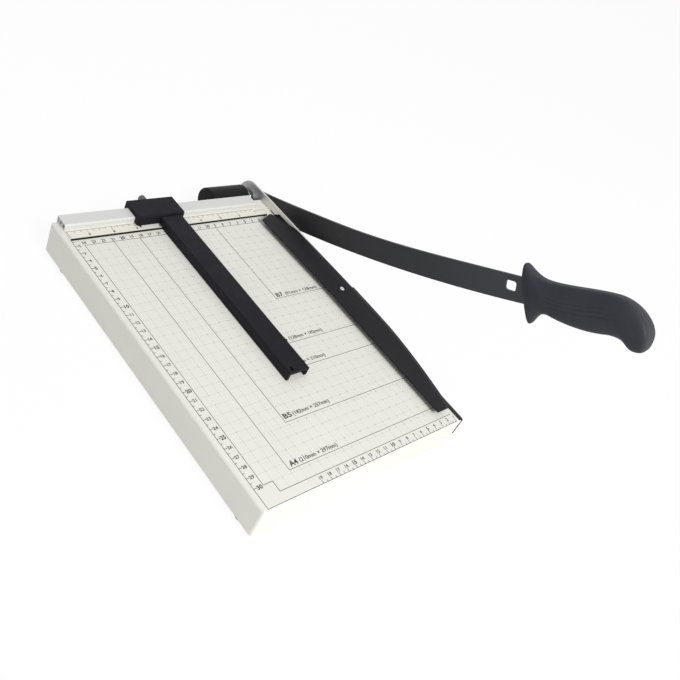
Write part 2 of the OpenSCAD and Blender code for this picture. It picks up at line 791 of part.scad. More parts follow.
module guard_screw() {
    color("#D8DADC") place() translate([-guard_screw_x, -guard_screw_y, 0]) {
        translate([0, 0, strip_low]) cylinder(h = guard_seat_z - strip_low, r = guard_screw_r);
        translate([0, 0, guard_seat_z]) rotate_extrude() polygon(concat(
            [[0, 0], [guard_head[0], 0]],
            [for (i = [0:6]) [guard_head[0] * cos(15 * i), guard_head[1] * (0.4 + 0.6 * sin(15 * i))]]
        ));
    }
}

// Gauge: a saddle over the rail with a channel arm that runs across the board
pointer_l = 3.2;
module gauge_saddle() {
    color("#2C2B2F") place() difference() {
        union() {
            intersection() {
                side_plate(saddle_x0, saddle_w) difference() {
                    polygon(concat(
                        [[saddle_y1, -saddle_back], [saddle_y1, saddle_top - 1], [saddle_y1 - 1, saddle_top]],
                        [[saddle_brow, saddle_top], [saddle_brow - 0.8, saddle_top - 0.8]],
                        [[saddle_y0, saddle_low + 1.6], [saddle_y0, saddle_low]],
                        [[saddle_front, saddle_low], [saddle_front, -saddle_back]]
                    ));
                    translate([saddle_front, -2 * saddle_back])
                        square([base_back + run_gap - saddle_front, rail_h + run_gap + 2 * saddle_back]);
                }
                translate([0, 0, -2 * saddle_back]) linear_extrude(saddle_top + 3 * saddle_back)
                    rounded(saddle_x0, saddle_x1, saddle_y0, saddle_y1, 1.5);
            }
            // Tenon inside the arm's channel
            block(
                [gauge_x0 + arm_leg + tenon_side, saddle_y0 - tenon_l, saddle_low],
                [gauge_x1 - arm_leg - tenon_side, saddle_y0 + deep, arm_top - arm_wall]
            );
            // Pointer over the inch scale
            pointer();
        }
        rod_y(base_back, saddle_y1 + deep, thumb_d / 2 + shaft_gap, thumb_x, thumb_z);
        for (y = gauge_screw_ys) {
            translate([gauge_middle, y, 0]) cylinder(h = arm_top, r = gauge_screw_r + thread_gap);
            translate([gauge_middle, y, 0])
                cylinder(h = saddle_low + gauge_head[1] + flat_gap, r = gauge_head[0] + flat_gap);
        }
    }
}
module pointer() {
    translate([0, 0, saddle_low]) linear_extrude(1.2)
        polygon([
            [saddle_x0 + 1.5, saddle_y0 + deep], [saddle_x0 + 3, saddle_y0 - pointer_l],
            [saddle_x0 + 4.5, saddle_y0 + deep]
        ]);
}
gauge_middle = (gauge_x0 + gauge_x1) / 2;
gauge_screw_r = 1.5;
gauge_head = [2.8, 1.8];
slot_w = 2.2;
slot_l = 5;
slot_in = 2;
arm_chamfer = 1;
module gauge_arm() {
    color("#2E2E31") place() difference() {
        run_y(-arm_end, saddle_y0 - flat_gap) polygon([
            [gauge_x0, arm_low], [gauge_x0, arm_top - arm_chamfer], [gauge_x0 + arm_chamfer, arm_top],
            [gauge_x1 - arm_chamfer, arm_top], [gauge_x1, arm_top - arm_chamfer], [gauge_x1, arm_low],
            [gauge_x1 - arm_leg, arm_low], [gauge_x1 - arm_leg, arm_top - arm_wall],
            [gauge_x0 + arm_leg, arm_top - arm_wall], [gauge_x0 + arm_leg, arm_low]
        ]);
        // Room for the fence's lip under the legs
        block(
            [gauge_x0 - deep, lip_y0 - strip_d - run_gap, -deep],
            [gauge_x1 + deep, saddle_y0 + deep, max(strip_h, rail_wall) + run_gap]
        );
        // Reading slot just inside the front end
        block(
            [gauge_x0 + arm_leg + slot_in, -arm_end + slot_in, arm_top - arm_wall - deep],
            [gauge_x0 + arm_leg + slot_in + slot_w, -arm_end + slot_in + slot_l, arm_top + deep]
        );
        for (y = gauge_screw_ys)
            translate([gauge_middle, y, 0]) cylinder(h = arm_top - 0.8, r = gauge_screw_r + thread_gap);
    }
}
module gauge_screws() {
    color("#8E9093") place()
        for (y = gauge_screw_ys) translate([gauge_middle, y, saddle_low]) {
            cylinder(h = gauge_head[1], r = gauge_head[0]);
            cylinder(h = arm_top - 1 - saddle_low, r = gauge_screw_r);
        }
}
knob_flutes = 14;
module thumb_screw() {
    color("#6F7174") place() difference() {
        union() {
            rod_y(base_back + run_gap, saddle_y1 + deep, thumb_d / 2, thumb_x, thumb_z);
            translate([thumb_x, saddle_y1 + run_gap, thumb_z]) rotate([-90, 0, 0]) rotate_extrude() polygon([
                [0, 0], [knob_r - 1.5, 0], [knob_r, 1.5],
                [knob_r, knob_l - 1], [knob_r - 1, knob_l], [0, knob_l]
            ]);
        }
        for (i = [0:knob_flutes - 1])
            translate([thumb_x, 0, thumb_z]) rotate([0, 360 * (i + 0.5) / knob_flutes, 0])
                rod_y(saddle_y1, saddle_y1 + knob_l + 2, 0.7, knob_r, 0);
    }
}

// Blade: a curved steel arm with a round eye at the pivot, a ground bevel and a tang for the grip
blade_upper = [
    [[9, 10.5], [34, 6.5], [100, 1.9], [134, -0.5]],
    [[134, -0.5], [194, -4.7], [245, -3.6], [305, -1.3]]
];
edge_centre = edge_r - blade_belly;
function edge_t_at(s) = edge_centre - sqrt(edge_r * edge_r - (s - edge_s) * (s - edge_s));
// Upper side between the end of its curves and the shoulder
upper_end = blade_upper[1][3];
function top_t_at(s) =
    shoulder_top + (upper_end[1] - shoulder_top) * (shoulder_s - s) / (shoulder_s - upper_end[0]);
edge_start = 60;
edge_steps = 24;
function flip(p) = [-p[0], p[1]];
module blade_outline() {
    polygon(concat(
        [for (i = [0:24]) flip(chain(blade_upper, i / 24))],
        [[-shoulder_s, shoulder_top], [-shoulder_s, tang_t + tang_h / 2]],
        [[-tang_end, tang_t + tang_h / 2], [-tang_end, tang_t - tang_h / 2]],
        [[-shoulder_s, tang_t - tang_h / 2]],
        [
            for (i = [0:edge_steps])
                let (s = shoulder_s + (edge_start - shoulder_s) * i / edge_steps) [-s, edge_t_at(s)]
        ],
        [[0, -blade_eye + 0.5]]
    ));
    circle(blade_eye);
}
module blade_arm() {
    color("#26262A") place() on_blade() difference() {
        side_plate(blade_x, blade_t) difference() {
            blade_outline();
            circle(shaft_d / 2 + shaft_gap);
            rounded(
                -hole_s - hole_w / 2, -hole_s + hole_w / 2,
                hole_t - hole_h / 2, hole_t + hole_h / 2, hole_corner
            );
            for (s = grip_screw_s) translate([-s, tang_t]) circle(grip_screw[0] + thread_gap);
        }
        // Ground bevel along the outer side of the cutting edge
        translate([0, -edge_s, edge_centre]) rotate([0, 90, 0]) rotate([0, 0, bevel_turn])
            rotate_extrude(angle = bevel_span, $fn = 360) polygon([
                [edge_r + deep, blade_x + edge_t - (blade_t - edge_t) * deep / bevel_w],
                [edge_r - bevel_w, blade_x + blade_t],
                [edge_r - bevel_w, blade_x + blade_t + deep],
                [edge_r + deep, blade_x + blade_t + deep]
            ]);
    }
}
// Span of the bevel, from just short of the grip to just short of the curve's start
bevel_front = asin((blade_l - edge_s - 3) / edge_r);
bevel_rear = asin((edge_s - edge_start - 4) / edge_r);
bevel_turn = -bevel_front;
bevel_span = bevel_front + bevel_rear;

// Grip halves: rounded scales lofted between the upper and the lower outline
grip_stations = 36;
grip_sides = 12;
// Half thickness at share u: thin in front, a slow waist, then a rounded pommel
front_thin = 0.5;
front_l = 0.3;
grip_neck = 0.94;
grip_swell = 0.06;
pommel = 0.78;
pommel_l = 0.23;
pommel_power = 2.4;
flank_power = 0.7;
function grip_half(u) = grip_t * (1 - front_thin * pow(max(0, 1 - u / front_l), 2)) * (
    u < pommel
        ? grip_neck + grip_swell * cos(360 * u / pommel)
        : pow(max(0, 1 - pow((u - pommel) / pommel_l, pommel_power)), 1 / pommel_power)
);
// A point of the flank at share u along the grip and at angle f round it, from the upper to the lower outline
function flank(u, f, side) =
    let (a = grip_point(grip_upper, u), b = grip_point(grip_lower, u), p = a + (b - a) * (1 - cos(f)) / 2)
    [grip_mid + side * grip_half(u) * pow(sin(f), flank_power), -p[0], p[1]];
function grip_ring(u, side) = [for (k = [0:grip_sides]) flank(u, 180 * k / grip_sides, side)];
module grip_loft(side) {
    m = grip_sides + 1;
    n = grip_stations;
    rings = [for (i = [0:n]) grip_ring(i / n * 0.99, side)];
    turn = side > 0 ? [0, 1, 2] : [0, 2, 1];
    polyhedron(
        points = [for (r = rings) each r],
        faces = [
            for (f = concat(
                [for (i = [0:n - 1]) for (k = [0:m - 2]) each [
                    [i * m + k, i * m + k + 1, (i + 1) * m + k],
                    [i * m + k + 1, (i + 1) * m + k + 1, (i + 1) * m + k]
                ]],
                [for (i = [0:n - 1]) each [
                    [i * m, (i + 1) * m, i * m + m - 1],
                    [i * m + m - 1, (i + 1) * m, (i + 1) * m + m - 1]
                ]],
                [for (k = [1:m - 2]) [0, k + 1, k]],
                [for (k = [1:m - 2]) [n * m, n * m + k, n * m + k + 1]]
            )) [f[turn[0]], f[turn[1]], f[turn[2]]]
        ]
    );
}
// Room for half of the tang and for the blade's shoulder
shoulder_room = 8;
slot_s = blade_l - shoulder_room;
module tang_room(x0, x1) {
    block(
        [x0, -tang_end - flat_gap, tang_t - tang_h / 2 - flat_gap],
        [x1, -slot_s, tang_t + tang_h / 2 + flat_gap]
    );
    block(
        [x0, -shoulder_s - flat_gap, edge_t_at(slot_s) - flat_gap],
        [x1, -slot_s, top_t_at(slot_s) + flat_gap]
    );
}
// Long shallow grooves that follow the flank
groove_inner = [64, 74, 84];
groove_outer = [50, 60, 70];
groove_u = [0.27, 0.6];
groove_steps = 10;
groove_r = 0.9;
groove_out = 0.2;
module grooves(side, turns) {
    for (f = turns) tube(
        [
            for (i = [0:groove_steps])
                flank(groove_u[0] + (groove_u[1] - groove_u[0]) * i / groove_steps, f, side)
                    + side * [groove_out, 0, 0]
        ],
        groove_r, 6
    );
}
module grip_inner() {
    color("#333338") place() on_blade() difference() {
        grip_loft(-1);
        tang_room(blade_x - flat_gap, grip_mid + deep);
        grooves(-1, groove_inner);
        for (s = grip_screw_s)
            rod_x(grip_mid - grip_depth, grip_mid + deep, grip_screw[0] + thread_gap, -s, tang_t);
    }
}
module grip_outer() {
    color("#313136") place() on_blade() difference() {
        grip_loft(1);
        tang_room(grip_mid - deep, blade_x + blade_t + flat_gap);
        grooves(1, groove_outer);
        for (s = grip_screw_s) {
            rod_x(grip_mid - deep, grip_mid + 2 * grip_t, grip_screw[0] + thread_gap, -s, tang_t);
            rod_x(grip_seat, grip_mid + 2 * grip_t, grip_screw[1] + run_gap, -s, tang_t);
        }
    }
}
grip_depth = 7;
seat_depth = 6;
grip_seat = grip_mid + seat_depth;
module grip_screws() {
    color("#8E9093") place() on_blade()
        for (s = grip_screw_s) {
            rod_x(grip_mid - grip_depth + 0.5, grip_seat, grip_screw[0], -s, tang_t);
            rod_x(grip_seat, grip_seat + grip_screw[2], grip_screw[1], -s, tang_t);
        }
}

base_tray();
base_walls();
base_returns();
rubber_feet();
foot_screws();
foot_nuts();
bed_knife();
knife_screws();
knife_nuts();
fence_rail();
fence_strip();
fence_screws();
pivot_plate();
plate_screws();
plate_nuts();
pivot_housing();
housing_cap();
housing_screws();
housing_nuts();
pivot_shaft();
shaft_washers();
pressure_spring();
shaft_nut();
finger_guard();
guard_screw();
gauge_saddle();
gauge_arm();
gauge_screws();
thumb_screw();
blade_arm();
grip_inner();
grip_outer();
grip_screws();
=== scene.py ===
"""Lever paper cutter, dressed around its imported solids.

The frame gives the bodies, the joints and the plain solids in metres, +Z up. This file adds what the
finished product shows: coats and prints, ground and brushed steel, moulded plastics, a wound spring,
recessed screws, eased edges and a smooth two-part handle, and then a plain studio.
"""

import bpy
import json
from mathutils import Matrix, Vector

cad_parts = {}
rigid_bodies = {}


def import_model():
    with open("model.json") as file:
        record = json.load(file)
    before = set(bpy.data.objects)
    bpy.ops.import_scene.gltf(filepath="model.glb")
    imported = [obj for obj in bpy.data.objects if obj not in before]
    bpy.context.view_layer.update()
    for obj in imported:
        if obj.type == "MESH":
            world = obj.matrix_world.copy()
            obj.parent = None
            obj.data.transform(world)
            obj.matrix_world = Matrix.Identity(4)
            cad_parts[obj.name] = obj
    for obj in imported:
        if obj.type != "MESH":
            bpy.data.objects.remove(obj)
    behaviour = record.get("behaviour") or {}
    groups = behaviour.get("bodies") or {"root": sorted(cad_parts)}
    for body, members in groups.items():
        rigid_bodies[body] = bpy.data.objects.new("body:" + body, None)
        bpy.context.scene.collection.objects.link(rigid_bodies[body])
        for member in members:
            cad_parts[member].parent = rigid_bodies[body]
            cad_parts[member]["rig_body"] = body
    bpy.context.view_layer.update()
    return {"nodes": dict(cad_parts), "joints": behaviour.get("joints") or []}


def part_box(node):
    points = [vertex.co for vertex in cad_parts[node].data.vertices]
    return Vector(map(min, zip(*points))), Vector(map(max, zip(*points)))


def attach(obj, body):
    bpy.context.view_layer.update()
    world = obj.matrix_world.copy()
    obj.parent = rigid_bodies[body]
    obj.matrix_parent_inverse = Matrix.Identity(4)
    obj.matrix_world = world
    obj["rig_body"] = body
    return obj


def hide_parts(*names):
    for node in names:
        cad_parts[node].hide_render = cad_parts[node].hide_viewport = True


bl_info = {
    "name": "Lever Paper Cutter",
    "version": (1, 0, 0),
    "blender": (4, 5, 0),
    "location": "View3D > Sidebar > Cutter",
    "description": "Dresses the lever paper cutter with its coats, prints, metals, plastics and studio",
    "category": "Object",
}

import json
import math

import bmesh
import bpy
import numpy as np
from bpy.props import FloatProperty, FloatVectorProperty, PointerProperty
from mathutils import Matrix, Vector

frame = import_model()
NODES = frame["nodes"]
MM = 0.001

# Places taken from the frame: the cutting line, the print's zero line and the top of the board
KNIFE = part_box("bed_knife")
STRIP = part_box("fence_strip")
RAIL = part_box("fence_rail")
LIP_DEPTH = 5 * MM
LIP_HEIGHT = 1.2 * MM
CUT_X = KNIFE[1].x
ZERO_Y = STRIP[1].y + LIP_DEPTH
BOARD_Z = KNIFE[1].z
SWING = next(j for j in frame["joints"] if j["name"] == "blade_swing")
PIVOT = Vector(SWING["pos_m"])

# Sizes of the blade and of its handle, in the blade's own frame: s from the pivot, t across
REST = math.radians(26.5)
BLADE_L = 366.0
EDGE_R = 1900.0
EDGE_S = 232.0
BELLY = 27.1
BEVEL_W = 6.0
GRIP_MID = 1.8
GRIP_HALF = 11.0
GRIP_UPPER = (
    ((-1.2, 7), (-0.8, 24.4), (3, 4.6), (24, 4.5)),
    ((24, 4.5), (40, 3.6), (70, 9.8), (87, 9.4)),
    ((87, 9.4), (104, 9), (119.2, -4), (119.4, -17)),
)
GRIP_LOWER = (
    ((9, -28), (17.2, -53), (13.2, -20.4), (33, -25)),
    ((33, -25), (41, -26.7), (64, -30), (86, -24.6)),
    ((86, -24.6), (107, -22.6), (100.5, -32.6), (112, -31.2)),
    ((112, -31.2), (119, -30.6), (119.4, -25), (119.4, -17.6)),
)

# Thickness of a printed line and how far it floats off the coat under it
INK_T = 0.05 * MM
INK_LIFT = 0.005 * MM
CAP_SHARE = 0.73
WELD = 1e-6
FLAT = math.radians(0.2)


def linear(code):
    """Linear colour of an sRGB hex code, by the standard sRGB curve."""
    tone = np.array([int(code[i:i + 2], 16) for i in (0, 2, 4)]) / 255
    return tuple(np.where(tone <= 0.04045, tone / 12.92, ((tone + 0.055) / 1.055) ** 2.4))


def colour(name, code, text):
    """A colour property whose default is an sRGB hex code."""
    return FloatVectorProperty(
        name=name, description=text, subtype="COLOR", size=3, min=0, max=1, default=linear(code)
    )


def length(name, size, text):
    """A length property whose default is given in millimetres."""
    return FloatProperty(
        name=name, description=text, subtype="DISTANCE", unit="LENGTH", precision=5, min=0, default=size * MM
    )


class CutterSizes(bpy.types.PropertyGroup):
    """Sizes of the print and of the eased edges"""

    line: length("Line width", 0.46, "Width of the printed lines")
    dot: length("Dot width", 0.36, "Width of one dot of the grid")
    crossing: length("Crossing width", 0.46, "Width of the dot where two lines of the grid cross")
    dot_step: length("Dot step", 2.5, "Distance between the dots of the grid")
    digit: length("Digit height", 3.3, "Height of the ruler's digits")
    label: length("Label height", 5.3, "Height of the paper sizes' names")
    note: length("Note height", 4, "Height of the paper sizes' measures")
    ease: length("Eased edge", 0.35, "Rounding of the moulded and extruded edges")
    steel_ease: length("Steel edge", 0.2, "Rounding of the sheet steel's edges")
    rim: length("Handle rim", 1, "Rounding of the handle's front rim")
    bold: length("Bold", 0.1, "Thickening of the digits")


class CutterColours(bpy.types.PropertyGroup):
    """Colours of the coats, plastics, metals and ink"""

    coat: colour("Base coat", "E3E2DA", "Powder coat of the folded base")
    rail: colour("Rail coat", "D7D7D5", "Coat of the fence")
    lip: colour("Lip coat", "E4E2D6", "Printed coat of the fence's lip")
    ink: colour("Ink", "2E2E30", "Print on the board")
    scale: colour("Scale ink", "55534B", "Print on the fence")
    guard: colour("Guard", "202022", "Moulded finger guard")
    gauge: colour("Gauge", "16151B", "Moulded gauge")
    housing: colour("Housing", "121214", "Moulded pivot housing")
    grip: colour("Grip", "33343A", "Moulded handle")
    blade: colour("Blade", "1B1B1F", "Black coat of the blade")
    knife: colour("Bed knife", "1B1B1D", "Blackened bed knife")
    steel: colour("Bright steel", "C6C7C9", "Plated pivot plate")
    zinc: colour("Zinc", "B4B6B9", "Plated fasteners")
    rubber: colour("Rubber", "171718", "Feet")


class CutterStudio(bpy.types.PropertyGroup):
    """Light and lens of the studio"""

    key: FloatProperty(
        name="Key light", description="Power of the front lamp", unit="POWER", min=0, default=56
    )
    sky: FloatProperty(
        name="Sky", description="Strength of the even light round the object", min=0, default=0.49
    )
    lens: FloatProperty(
        name="Lens", description="Focal length on a 36 mm sensor", subtype="DISTANCE_CAMERA", unit="CAMERA",
        min=1, default=42.185
    )


def add(tree, kind, sockets=None, **settings):
    """Adds a node with its settings; sockets gives each input its value or the output that feeds it."""
    node = tree.nodes.new(kind)
    for name, value in settings.items():
        setattr(node, name, value)
    for name, value in (sockets or {}).items():
        if isinstance(value, bpy.types.NodeSocket):
            tree.links.new(value, node.inputs[name])
        else:
            node.inputs[name].default_value = value
    return node


def begin(name, **sockets):
    """A new material: its tree, its surface shader with those plain values, and Object coordinates."""
    material = bpy.data.materials.new(name)
    material.use_nodes = True
    tree = material.node_tree
    tree.nodes.clear()
    shader = add(tree, "ShaderNodeBsdfPrincipled", {k.replace("_", " "): v for k, v in sockets.items()})
    add(tree, "ShaderNodeOutputMaterial", {"Surface": shader.outputs[0]})
    place = add(tree, "ShaderNodeTexCoord").outputs["Object"]
    return material, tree, shader, place


def mottle(tree, place, size, low, high, detail=2.0):
    """A value that wanders between low and high over patches of that size in metres, one or three numbers."""
    sizes = np.broadcast_to(np.asarray(size, float), 3)
    spread = add(tree, "ShaderNodeMapping", {"Vector": place, "Scale": tuple(1 / sizes)})
    noise = add(
        tree, "ShaderNodeTexNoise",
        {"Vector": spread.outputs[0], "Scale": 1.0, "Detail": detail, "Roughness": 0.55}
    )
    return add(
        tree, "ShaderNodeMapRange",
        {"Value": noise.outputs[0], "From Min": 0.3, "From Max": 0.7, "To Min": low, "To Max": high}
    ).outputs[0]


def shade(tree, factor, first, second):
    """Colour that goes from first to second with the factor."""
    pair = {6: first, 7: second}
    sockets = {k: v if isinstance(v, bpy.types.NodeSocket) else (*v[:3], 1) for k, v in pair.items()}
    return add(tree, "ShaderNodeMix", {0: factor, **sockets}, data_type="RGBA").outputs[2]


def relief(tree, shader, height, depth):
    """Feeds a height of that depth in metres to the shader's normal."""
    bump = add(tree, "ShaderNodeBump", {"Height": height, "Strength": 1.0, "Distance": depth})
    tree.links.new(bump.outputs[0], shader.inputs["Normal"])


def above(tree, value, limit):
    """One where the value is over the limit, and nought elsewhere."""
    return add(tree, "ShaderNodeMath", {0: value, 1: limit}, operation="GREATER_THAN").outputs[0]


def darker(tone, share):
    """The colour times a share."""
    return tuple(c * share for c in tone[:3])


def powder_coat(name, tone, other=None, least_x=None, most_y=None):
    """Satin powder coat on sheet steel: an even pale skin with a fine orange peel and faint soil.
    Where X is over least_x and Y is under most_y, of those that are given, the coat has the other colour."""
    material, tree, shader, place = begin(name, Roughness=0.5, IOR=1.5)
    # Handling leaves patches about 60 mm wide that are hardly darker
    cloud = mottle(tree, place, 60 * MM, 0.0, 1.0, 3.0)
    skin = shade(tree, cloud, tone, darker(tone, 0.965))
    if other is not None:
        axes = add(tree, "ShaderNodeSeparateXYZ", {0: place})
        right = 1.0 if least_x is None else above(tree, axes.outputs["X"], least_x)
        front = 1.0 if most_y is None else above(tree, most_y, axes.outputs["Y"])
        band = add(tree, "ShaderNodeMath", {0: right, 1: front}, operation="MULTIPLY").outputs[0]
        skin = shade(tree, band, skin, other)
    tree.links.new(skin, shader.inputs["Base Color"])
    # The peel of a powder coat is near 1 mm, drawn at 1.6 mm so that it shows
    peel = mottle(tree, place, 1.6 * MM, 0.0, 1.0)
    relief(tree, shader, peel, 0.012 * MM)
    tree.links.new(mottle(tree, place, 9 * MM, 0.44, 0.56), shader.inputs["Roughness"])
    return material


def moulded(name, tone, gloss, grain=1.2 * MM, depth=0.012 * MM):
    """Moulded ABS: dark satin plastic with a spark-eroded grain and slightly greyer rubbed patches."""
    material, tree, shader, place = begin(name, IOR=1.5)
    shader.inputs["Specular IOR Level"].default_value = 0.13
    rub_and_sheen = mottle(tree, place, 34 * MM, 0.0, 1.0, 4.0)
    tree.links.new(shade(tree, rub_and_sheen, tone, darker(tone, 1.28)), shader.inputs["Base Color"])
    # Mould grain is about 0.3 mm and is drawn coarser so that it shows
    relief(tree, shader, mottle(tree, place, grain, 0.0, 1.0), depth)
    tree.links.new(mottle(tree, place, 7 * MM, gloss - 0.05, gloss + 0.06), shader.inputs["Roughness"])
    return material


def plated(name, tone, gloss, brush=(0.5 * MM, 26 * MM, 0.5 * MM)):
    """Plated steel: a bright metal whose fine rolling and polishing marks run along one axis."""
    material, tree, shader, place = begin(name, Metallic=1.0)
    streak = mottle(tree, place, brush, 0.0, 1.0, 3.0)
    tree.links.new(shade(tree, streak, tone, darker(tone, 0.86)), shader.inputs["Base Color"])
    tree.links.new(mottle(tree, place, brush, gloss - 0.06, gloss + 0.1, 3.0), shader.inputs["Roughness"])
    relief(tree, shader, streak, 0.004 * MM)
    return material


def worn_coat(name, steel, coat, bare, coated):
    """Satin coat on plated steel that fades to bare steel along Y: whole up to coated, and gone from bare on.
    The cream coat is partly real and partly a painted reflection of the pale board, and the grey steel is
    partly a painted reflection of the dark housing.
    """
    material, tree, shader, place = begin(name, IOR=1.5)
    axes = add(tree, "ShaderNodeSeparateXYZ", {0: place})
    # Painted reflection: the fade from cream coat to grey steel stands partly for the board and the housing
    # mirrored in the plate
    steel_share = add(
        tree, "ShaderNodeMapRange",
        {"Value": axes.outputs["Y"], "From Min": coated, "From Max": bare, "To Min": 0.0, "To Max": 1.0},
        interpolation_type="SMOOTHSTEP"
    ).outputs[0]
    brush = (0.5 * MM, 26 * MM, 0.5 * MM)
    streak = mottle(tree, place, brush, 0.0, 1.0, 3.0)
    metal = shade(tree, streak, steel, darker(steel, 0.8))
    tree.links.new(shade(tree, steel_share, coat, metal), shader.inputs["Base Color"])
    tree.links.new(steel_share, shader.inputs["Metallic"])
    tree.links.new(mottle(tree, place, brush, 0.42, 0.56, 3.0), shader.inputs["Roughness"])
    relief(tree, shader, streak, 0.004 * MM)
    return material


def black_blade(name, tone):
    """Black-coated blade steel: satin coat with faint marks along the blade, and a bare ground bevel.
    The bevel is where the distance from the edge's arc centre is over the arc's radius less its width."""
    material, tree, shader, place = begin(name, IOR=1.5)
    shader.inputs["Specular IOR Level"].default_value = 0.4
    turned = add(tree, "ShaderNodeVectorRotate", {"Vector": place, "Angle": REST}, rotation_type="X_AXIS")
    along = mottle(tree, turned.outputs[0], (1.2 * MM, 45 * MM, 1.2 * MM), 0.0, 1.0, 3.0)
    coat = shade(tree, along, tone, darker(tone, 1.35))
    # Painted sheen: the coat is drawn paler towards the handle, where reflected light makes the blade look
    # paler
    reached = add(
        tree, "ShaderNodeVectorMath", {0: place, 1: tuple(PIVOT)}, operation="DISTANCE"
    ).outputs["Value"]
    rub_and_sheen = add(
        tree, "ShaderNodeMapRange",
        {"Value": reached, "From Min": 110 * MM, "From Max": 360 * MM, "To Min": 0.0, "To Max": 1.0}
    ).outputs[0]
    coat = shade(tree, rub_and_sheen, coat, linear("35363D"))
    # Arc centre and distance are measured across the blade, so X is left out
    centre = blade_point(EDGE_S, EDGE_R - BELLY, 0.0)
    flat = add(tree, "ShaderNodeVectorMath", {0: place, 1: (0, 1, 1)}, operation="MULTIPLY")
    reach = add(
        tree, "ShaderNodeVectorMath",
        {0: flat.outputs[0], 1: (0, centre[1], centre[2])}, operation="DISTANCE"
    )
    axes = add(tree, "ShaderNodeSeparateXYZ", {0: place})
    past = above(tree, reach.outputs["Value"], (EDGE_R - BEVEL_W + 0.05) * MM)
    side = above(tree, axes.outputs["X"], CUT_X + 0.5 * MM)
    ground = add(tree, "ShaderNodeMath", {0: past, 1: side}, operation="MULTIPLY").outputs[0]
    steel = shade(tree, along, linear("C9CACC"), linear("9FA1A4"))
    tree.links.new(shade(tree, ground, coat, steel), shader.inputs["Base Color"])
    tree.links.new(ground, shader.inputs["Metallic"])
    tree.links.new(mottle(tree, place, 8 * MM, 0.36, 0.46), shader.inputs["Roughness"])
    relief(tree, shader, along, 0.006 * MM)
    return material


def black_knife(name, tone):
    """Blackened knife steel: a dark oxide skin with a narrow bare line where the cutting corner is ground."""
    material, tree, shader, place = begin(name, IOR=1.5)
    shader.inputs["Specular IOR Level"].default_value = 0.4
    axes = add(tree, "ShaderNodeSeparateXYZ", {0: place})
    corner = add(
        tree, "ShaderNodeMath", {0: axes.outputs["X"], 1: axes.outputs["Z"]}, operation="ADD"
    ).outputs[0]
    ground = above(tree, corner, CUT_X + BOARD_Z - 0.5 * MM)
    cloud = mottle(tree, place, 14 * MM, 0.0, 1.0, 4.0)
    skin = shade(tree, cloud, tone, darker(tone, 1.4))
    tree.links.new(shade(tree, ground, skin, linear("A7A9AC")), shader.inputs["Base Color"])
    tree.links.new(ground, shader.inputs["Metallic"])
    tree.links.new(mottle(tree, place, 6 * MM, 0.34, 0.5), shader.inputs["Roughness"])
    relief(tree, shader, mottle(tree, place, (0.6 * MM, 20 * MM, 0.6 * MM), 0.0, 1.0), 0.006 * MM)
    return material


def rubber(name, tone):
    """Moulded rubber: matt, with dust in a soft grain."""
    material, tree, shader, place = begin(name, IOR=1.52)
    shader.inputs["Specular IOR Level"].default_value = 0.3
    dust = mottle(tree, place, 5 * MM, 0.0, 1.0, 4.0)
    tree.links.new(shade(tree, dust, tone, darker(tone, 1.7)), shader.inputs["Base Color"])
    tree.links.new(mottle(tree, place, 3 * MM, 0.72, 0.9), shader.inputs["Roughness"])
    relief(tree, shader, mottle(tree, place, 0.9 * MM, 0.0, 1.0), 0.02 * MM)
    return material


def printing_ink(name, tone):
    """Screen-printed ink: a thin dull film whose cover varies a little."""
    material, tree, shader, place = begin(name, IOR=1.5)
    shader.inputs["Specular IOR Level"].default_value = 0.3
    cover = mottle(tree, place, 2.5 * MM, 0.0, 1.0, 3.0)
    tree.links.new(shade(tree, cover, tone, darker(tone, 1.6)), shader.inputs["Base Color"])
    tree.links.new(mottle(tree, place, 4 * MM, 0.5, 0.62), shader.inputs["Roughness"])
    return material


def blade_point(s, t, x):
    """Row-frame point at rest of the blade's own place (s, t) in mm, turned about the pivot."""
    return np.stack(
        np.broadcast_arrays(
            CUT_X + np.asarray(x) * MM,
            PIVOT.y + (-np.asarray(s) * math.cos(REST) + np.asarray(t) * math.sin(REST)) * MM,
            PIVOT.z + (np.asarray(s) * math.sin(REST) + np.asarray(t) * math.cos(REST)) * MM,
        ),
        axis=-1,
    )


def grid_faces(rows, columns, wrap=False):
    """Quads of a grid of points stored row by row; wrap joins the last column to the first."""
    index = np.arange(rows * columns).reshape(rows, columns)
    right = np.roll(index, -1, axis=1) if wrap else index[:, 1:]
    left = index if wrap else index[:, :-1]
    return np.stack([left[:-1], right[:-1], right[1:], left[1:]], axis=-1).reshape(-1, 4)


def piece(name, mesh, material, like, *stands_for):
    """Puts a mesh in the scene with that material, as a piece that rides with the node like, and hides nodes.
    """
    obj = bpy.data.objects.new(name, mesh)
    bpy.context.scene.collection.objects.link(obj)
    mesh.materials.clear()
    mesh.materials.append(material)
    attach(obj, NODES[like]["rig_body"])
    if stands_for:
        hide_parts(*stands_for)
    return obj


def mesh_of(name, corners, faces):
    """A mesh from corner and face arrays, with coincident corners joined."""
    mesh = bpy.data.meshes.new(name)
    mesh.from_pydata(np.asarray(corners).tolist(), [], [list(f) for f in faces])
    work = bmesh.new()
    work.from_mesh(mesh)
    bmesh.ops.remove_doubles(work, verts=work.verts, dist=WELD / 5)
    work.to_mesh(mesh)
    work.free()
    return mesh


def merged(node):
    """A copy of a node's mesh with its loose triangles joined and its flat faces made whole."""
    mesh = NODES[node].data.copy()
    work = bmesh.new()
    work.from_mesh(mesh)
    bmesh.ops.remove_doubles(work, verts=work.verts, dist=WELD)
    bmesh.ops.dissolve_limit(work, angle_limit=FLAT, verts=work.verts, edges=work.edges)
    work.to_mesh(mesh)
    work.free()
    normals = mesh.attributes.get("custom_normal")
    if normals:
        mesh.attributes.remove(normals)
    return mesh


